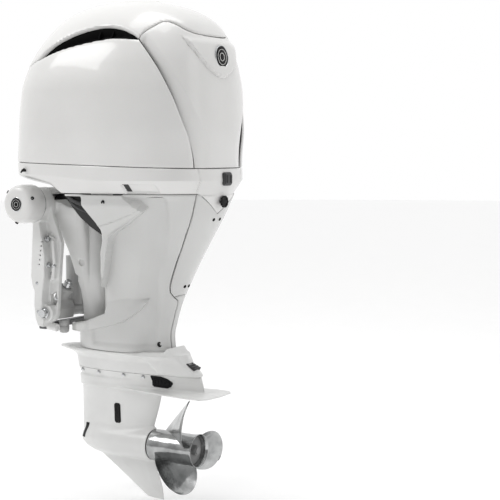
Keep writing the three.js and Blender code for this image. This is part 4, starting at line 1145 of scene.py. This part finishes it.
# ---- Steering caps ----
CAP = [[194, 0], [194, 66], [195.5, 72.5], [198, 74], [240, 74], [256, 72.5], [266, 69.5],
       [273, 65], [277.5, 58.5], [279.6, 50], [280, 40], [280, 0]]
STUB = [[124.5, 0], [124.5, 38.5], [190.4, 38.5], [190.4, 70], [193.6, 70], [193.6, 0]]
CAP_SCREW = [[-6, 0], [-6, 6.5], [6.0, 6.5], [6.6, 6.0], [6.6, 3.6], [3.0, 3.2], [3.0, 0]]
for side, side_name in SIDE_NAMES.items():
    origin, axis = (0, 0, TILT_Z), (0, side, 0)
    make(f"steering_cap_shell_{side_name}", lathe(CAP, origin, axis, 96), PEARL, "swivel",
         [f"steering_cap_{side_name}"])
    make(f"steering_cap_seal_{side_name}", lathe(STUB, origin, axis, 72), RUBBER, "swivel")
    emblem(f"cap_roundel_{side_name}", (0, side * 280.6, TILT_Z), axis, 27, "swivel", 1.2)
    screws = []
    for turn in (20, 140, 260):
        c, s = math.cos(math.radians(turn)), math.sin(math.radians(turn))
        screws.append(lathe(CAP_SCREW, (68 * c, side * 262, TILT_Z + 68 * s),
                            (0.75 * c, 0.66 * side, 0.75 * s), 20))
    make(f"cap_screws_{side_name}", merged(*screws), BLACK, "swivel")

# ---- Propeller ----
HUB = [[434, 0], [434, 57.5], [436, 59.6], [440, 60.2], [470, 60.4], [560, 59.6], [600, 59.0],
       [618, 60.0], [630, 61.9], [636, 63.0], [638, 62.6], [637.6, 61.0], [632, 57.2],
       [622, 54.6], [606, 54.0], [548, 54.0], [548, 30], [606, 30], [606, 15], [436, 15],
       [436, 0]]
HUB_CENTRE = (0, 0, PROP_Z)
BLADES = 3
BLADE_MID = 540.0  # x of the middle of a root
BLADE_PITCH = 540.0
BLADE_ROOT, BLADE_SPAN = 56, 134  # radius of the root, and length from there to the tip
BLADE_RAKE = 66  # how far aft of its root a tip lies
BLADE_SKEW = 0.40
BLADE_START = -0.5  # angle of the first blade


def blade(turn, chords=44, spans=36):
    """One blade: helical sections swept aft, thick at the root and thin at its rounded tip."""
    c = -np.cos(np.linspace(0, np.pi, chords))
    o = 1 - (1 - np.linspace(0, 1, spans)) ** 1.6
    chord, out = np.meshgrid(c, o)
    half_angle = (0.78 - 0.30 * out) * np.sqrt(np.maximum(0, 1 - out ** 3.4)) + 0.02
    angle = chord * half_angle + BLADE_SKEW * out ** 1.6 + turn
    radius = BLADE_ROOT + BLADE_SPAN * out
    thickness = (1 + 7 * (1 - out) ** 1.4) * np.sqrt(np.maximum(0, 1 - chord ** 2)) + 0.9
    cup = 4.0 * smooth((-chord - 0.6) / 0.4) * out
    twist = BLADE_PITCH / (2 * np.pi) * chord * half_angle
    middle = BLADE_MID - twist + BLADE_RAKE * out + cup
    y, z = radius * np.sin(angle), PROP_Z + radius * np.cos(angle)
    front = np.stack([middle - thickness / 2, y, z], -1)
    back = np.stack([middle + thickness / 2, y, z], -1)
    loop = np.concatenate([front, back[:, ::-1]], 1)
    v, f = net(loop)
    count = loop.shape[1]
    ends = []
    for base, order in ((0, 1), (len(v) - count, -1)):
        for j in range(chords - 1):
            quad = [base + j, base + j + 1, base + count - 2 - j, base + count - 1 - j]
            ends += [quad[:3][::order], [quad[0], quad[2], quad[3]][::order]]
    return v, np.vstack([f, ends])


make("propeller_hub", lathe(HUB, HUB_CENTRE, AFT, 120), MIRROR, "prop",
     ["propeller"], sharp=40)
for number in range(BLADES):
    make(f"propeller_blade_{number + 1}", blade(BLADE_START + number * 2 * math.pi / BLADES),
         MIRROR, "prop", sharp=60)
RING = [[430.6, 15], [430.6, 58], [433.4, 59.4], [433.9, 57], [433.9, 15], [430.6, 15]]
make("propeller_thrust_ring", lathe(RING, HUB_CENTRE, AFT, 96), BLACK, "prop")
# A grey disc that closes the hub outlet a little way in: painted shade for the dark inside of the
# outlet.
FACE = [[604, 15.2], [604, 53.6], [606.6, 53.9], [612, 53.6], [612, 15.2], [604, 15.2]]
make("propeller_outlet_shade_disc", lathe(FACE, HUB_CENTRE, AFT, 64), OUTLET_SHADE_GREY, "prop")

# ---- Small fittings ----
def pan_screw(at, axis, radius, rise=2.5, socket=0.5):
    """A round-headed screw with a socket in its head."""
    profile = [[-6, 0], [-6, radius], [rise * 0.4, radius], [rise * 0.85, radius * 0.9],
               [rise, radius * 0.75], [rise, radius * socket], [rise * 0.2, radius * socket * 0.9],
               [rise * 0.2, 0]]
    return lathe(profile, at, axis, 28)


def hex_bolt(at, axis, radius, height=6.0):
    """A flanged hexagon bolt."""
    flange = lathe([[-4, 0], [-4, radius * 1.35], [1.0, radius * 1.35], [1.6, radius * 1.2],
                    [1.6, 0]], at, axis, 28)
    head = lathe([[1.0, 0], [1.0, radius], [height * 0.8, radius], [height, radius * 0.82],
                  [height, 0]], at, axis, 6)
    return merged(flange, head)


screws = []
for side in SIDE_NAMES:
    for x, z, radius in ((403, 99, 7.5), (495, -449, 10.0)):
        row = nearest(apron_v, [0, 2], (x, z), side * apron_v[:, 1] > 0)
        at = row[:3] + row[3:] * apron_outward(row[None, :3], True)[0]
        screws.append(pan_screw(at, row[3:], radius))
for y, z in ((-12, -229), (16, -229), (-12, 26), (33, 26)):
    row = nearest(apron_v, [1, 2], (y, z), apron_v[:, 0] > 440)
    screws.append(pan_screw(row[:3], row[3:], 6.5))
make("apron_screws", merged(*screws), BLACK, "leg")

# Rubber lip behind the joint of the lower cowl and the apron, and its pale front end.
LIP = [[126, 70, 304, 738, 259, 3.5, 2.5], [110, 70, 304, 733, 255, 3.5, 2.5]]
lip = skin_of(section(sections(LIP, 12, False), turns(LOWER_COWL[2], 300)))
for name, sign, finish, slot in (("apron_joint_lip", 1, RUBBER, "rubber"),
                                 ("apron_joint_backing", -1, CAST_WHITE, "white_metal")):
    v, f = clip(*lip, lambda p: np.minimum(sign * (p[:, 0] - 435), p[:, 0] - 214))
    make(name, thicken(v, f, 3.0), finish, "leg")

# Seal between the apron and the upper case.
SEAL = [[-482.5, 94, 295, 525, 92.5, 2, 2], [-489.5, 93, 295, 526, 93.5, 2, 2]]
seal = skin_of(section(sections(SEAL, 6, False), turns(SEAL[0], 300)))
v, f = clip(*seal, lambda p: 500 - p[:, 0])
make("apron_foot_seal", thicken(v, f, 4.0), RUBBER, "leg")

# Black rubber sheet sunk in the opening in front of the apron, painted shade for the dark inside
# that opening, with the hoses that pass over it.
shade_sheet_skin = clip(*skin_of(section(sections(APRON[:5], 90), turns(APRON[1], 420))),
              lambda p: within(SHADE_SHEET_OUTLINE)(p) + SEAM_GAP)


def hose(points, radius, sides=14):
    """A round hose along smooth points."""
    line = rounded(points, 8)
    tangent = np.gradient(line, axis=0)
    tangent /= np.linalg.norm(tangent, axis=1, keepdims=True)
    side_axis = np.cross(tangent, [0, 0, 1.0])
    side_axis /= np.linalg.norm(side_axis, axis=1, keepdims=True)
    up_axis = np.cross(side_axis, tangent)
    turn = np.linspace(0, 2 * np.pi, sides, endpoint=False)
    ring = (np.cos(turn)[None, :, None] * side_axis[:, None]
            + np.sin(turn)[None, :, None] * up_axis[:, None])
    v, f = net(line[:, None] + ring * radius)
    last = len(v) - sides
    fan = [[0, k, k + 1] for k in range(1, sides - 1)]
    ends = [a[::-1] for a in fan] + [[last + i for i in a] for a in fan]
    return v, np.vstack([f, ends])


for side, side_name in SIDE_NAMES.items():
    v, f = clip(*shade_sheet_skin, lambda p: side * p[:, 1] - 120)
    # A black sheet behind the opening: painted shade for the dark inside it.
    make(f"front_opening_shade_{side_name}", thicken(v, f, 4.0, 8.0), RUBBER, "leg")
    hoses = [hose([
        (216, side * (236 - 12 * k), 118 - 6 * k), (240, side * (253 - 4 * k), 100 - 12 * k),
        (272, side * (259 - 3 * k), 88 - 18 * k), (304, side * (252 - 4 * k), 78 - 22 * k),
        (332, side * (226 - 4 * k), 70 - 26 * k)], radius) for k, radius in ((0, 6.5), (1, 5.0))]
    make(f"front_hoses_{side_name}", merged(*hoses), DARK_GREY, "leg")


def fitting(name, field, low, high, step, finish, body, replaces=()):
    cast(name, field, low, high, step, finish, body, replaces, sharp=45)


def rear_latch_field(x, y, z):
    p = (x, y, z)
    body = block(p, (744, -9, 149), (757, 49, 199), 9.0)
    grip = block(p, (751, -3, 155), (763, 43, 193), 7.0)
    ribs = np.minimum(block(p, (755, 4, 160), (770, 9, 188), 1.6),
                      block(p, (755, 29, 160), (770, 34, 188), 1.6))
    return smax(smax(smin(body, grip, 1.0), x - 759.6, 1.2), -ribs, 0.6)


fitting("latch_handle_rear", rear_latch_field, (741, -12, 146), (762, 52, 202), 1.2, DARK_GREY,
        "latch_rear", ["cowl_latch_rear"])


def plug_field(x, y, z):
    r = np.hypot(y, z - PLUG_Z)
    turn = np.arctan2(z - PLUG_Z, y)
    knob = smax(r - 21.5 - 1.2 * np.cos(turn * 10), np.maximum(746.5 - x, x - 756), 1.5)
    grip = smax(np.abs(z - PLUG_Z) - 4.5, np.maximum(r - 15, 752 - x), 1.0)
    hollow = smax(r - 17.5, 752.5 - x, 1.0)
    stem = smax(r - 8, np.maximum(716 - x, x - 750), 0.8)
    return smin(np.minimum(smax(knob, -hollow, 1.0), smax(grip, x - 755.8, 1.0)), stem, 0.5)


fitting("flush_plug_knob", plug_field, (714, -24, 68), (758, 24, 116), 1.0, BLACK, "plug",
        ["flush_plug"])


def front_latch_field(x, y, z):
    p = (x, y, z)
    lever = smin(rod(p, (51, -309.5, 196), (59, -309.5, 203), 3.2, 1.0),
                 rod(p, (59, -309.5, 203), (68, -309.5, 211), 3.2, 1.0), 2)
    collar = rod(p, (60, -311, 204), (60, -303, 204), 5.0, 1.0)
    axle = rod(p, (60, -306, 204), (60, -264, 204), 5.5, 0.6)
    cam = block(p, (52, -272, 196), (68, -264, 220), 1.5)
    return np.minimum(np.minimum(smin(lever, collar, 2), axle), cam)


fitting("latch_handle_front", front_latch_field, (42, -314, 190), (78, -262, 222), 1.1, BLACK,
        "latch_front", ["cowl_latch_front"])

# Dark inserts of the leg: the side cover, the water inlets, the nose inlet and the rear anode.
COVER = [[453, -571], [456, -568], [497, -569], [522, -577], [539, -590], [541, -596],
         [532, -609], [517, -615], [461, -613], [453, -607]]
INLET = [[270, -699], [276, -693], [292, -693], [298, -699], [298, -765], [292, -771],
         [276, -771], [270, -765]]


def cover_field(x, y, z):
    shell = np.abs(gearcase_field(x, y, z)) - 3.2
    edge = polygon(x, z, COVER)
    body = smax(shell, smax(edge, 24 - np.abs(y), 1.0), 1.6)
    groove = smax(np.abs(edge + 8) - 1.3, 1.6 - shell - 3.2, 0.6)
    lug = np.hypot(x - 512, z + 594) - 4.0
    slots = np.maximum(np.abs(np.mod(x - 462, 14) - 7) - 1.4, np.abs(z + 590) - 9)
    slots = np.maximum(slots, x - 500)
    cut = np.maximum(np.minimum(np.minimum(groove, lug), slots), 1.2 - gearcase_field(x, y, z))
    return smax(body, -cut, 0.6)


def inlet_field(x, y, z):
    case = gearcase_field(x, y, z)
    edge = polygon(x, z, INLET)
    body = smax(np.abs(case) - 2.0, smax(edge, 24 - np.abs(y), 1.0), 1.2)
    pits = np.hypot(x - 284, np.mod(z + 697, 13.0) - 6.5) - 3.4
    rim = np.abs(edge + 3.5) - 0.9
    return smax(body, -np.maximum(np.minimum(pits, rim), 0.6 - case), 0.6)


for side, side_name in SIDE_NAMES.items():
    low_y, high_y = sorted((side * 20, side * 72))
    fitting(f"side_cover_{side_name}", cover_field, (448, low_y, -620), (546, high_y, -563),
            1.5, GLOSS_BLACK, "leg")
    low_y, high_y = sorted((side * 20, side * 56))
    fitting(f"water_inlet_{side_name}", inlet_field, (266, low_y, -774), (302, high_y, -690),
            1.4, BLACK, "leg")


def nose_field(x, y, z):
    case = gearcase_field(x, y, z)
    shell = np.abs(case + 0.6) - 1.6
    slant = x - 121 - (z + 818) * 0.22
    band = smax(np.abs(slant) - 9.5, np.maximum(-845 - z, z + 788), 2.0)
    return smax(shell, smax(band, 8 - np.abs(y), 0.5), 0.8)


fitting("nose_water_inlet", nose_field, (100, -50, -850), (142, 50, -786), 1.4, BLACK, "leg")


def heel_anode_field(x, y, z):
    along = (x - 593) * 0.928 - (z + 522) * 0.372
    rise = (x - 593) * 0.372 + (z + 522) * 0.928
    body = np.maximum(np.abs(along - 20) - 21, np.maximum(np.abs(y) - 21, np.abs(rise - 1) - 5))
    slots = np.maximum(np.abs(np.mod(along, 13) - 6.5) - 1.6, 3.4 - rise)
    return smax(body, -slots, 0.8)


fitting("heel_anode", heel_anode_field, (588, -24, -548), (640, 24, -512), 1.3, DARK_ANODE,
        "leg")

# Bolts along the joint of the upper case and the gearcase, on the brackets and their pivot.
NUT = [[-6, 0], [-6, 20], [0, 20], [1.4, 18.5], [1.4, 0]]
joint_bolts, clamp_bolts, nuts = [], [], []
for side in SIDE_NAMES:
    outward = (0, side, 0)
    for x in (112, 206, 330, 420):
        half = 60 * math.sqrt(max(0.0, 1 - ((x - 300) / (228 if x < 300 else 348)) ** 2))
        joint_bolts.append(hex_bolt((x, side * (half - 2), -577), UP, 5.5, 8))
    for x, z, y, r in ((84, -162, 168.5, 5.5), (57, -194, 148.5, 6.5), (78, -290, 148.5, 5.5)):
        clamp_bolts.append(hex_bolt((x, side * y, z), outward, r, 5))
    for x, z in ((22, -340), (18, -230)):
        clamp_bolts.append(pan_screw((x, side * 189, z), outward, 6.5, 2.2))
    for x, z in zip((52, 56), BOLT_HEIGHTS):
        clamp_bolts.append(hex_bolt((x, side * BOLT_Y, z), AFT, 9.5, 9))
    pivot = (PIN_X, side * 180, PIN_Z)
    nuts += [hex_bolt(pivot, outward, 15, 10), lathe(NUT, pivot, outward, 40)]
make("joint_bolts", merged(*joint_bolts), STAINLESS, "leg")
make("clamp_bolts", merged(*clamp_bolts), STAINLESS, "transom_bracket")
make("lower_pivot_nuts", merged(*nuts), STAINLESS, "transom_bracket")

# Trim motor can under the port ram.
CAN = [[-430, 0], [-430, 12], [-427, 17], [-422, 19], [-404, 20], [-402, 18.8], [-400, 20],
       [-384, 20.4], [-381, 20.4], [-381, 0]]
make("trim_motor_can", lathe(CAN, (62, -RAM_Y, 0), UP, 56), GREY_CAST, "transom_bracket",
     ["trim_motor"])

# ---- Finishes of the imported parts that stay in view ----
# The propeller nut and shaft take the grey of the outlet disc: painted shade, since both sit
# inside the hub outlet.
NODE_FINISH = {
    "tilt_cylinder": GREY_CAST, "flywheel": STEEL, "intake_manifold": BLACK,
    "prop_nut": OUTLET_SHADE_GREY, "prop_shaft": OUTLET_SHADE_GREY, "steering_nut": DARK_GREY,
}
node_slots = {row["node"]: row["material_slot"] for row in frame["record"]["subparts"]}
for node_name, node_object in frame["nodes"].items():
    finish = NODE_FINISH.get(node_name) or SLOT_MATERIALS[node_slots.get(node_name, "white_metal")]
    node_object.data.materials.clear()
    node_object.data.materials.append(finish)
    if not node_object.hide_render:
        edge = node_object.modifiers.new("soft_edges", "BEVEL")
        edge.width = 0.0012
        edge.segments = 2
        edge.limit_method = "ANGLE"
        edge.angle_limit = math.radians(28)
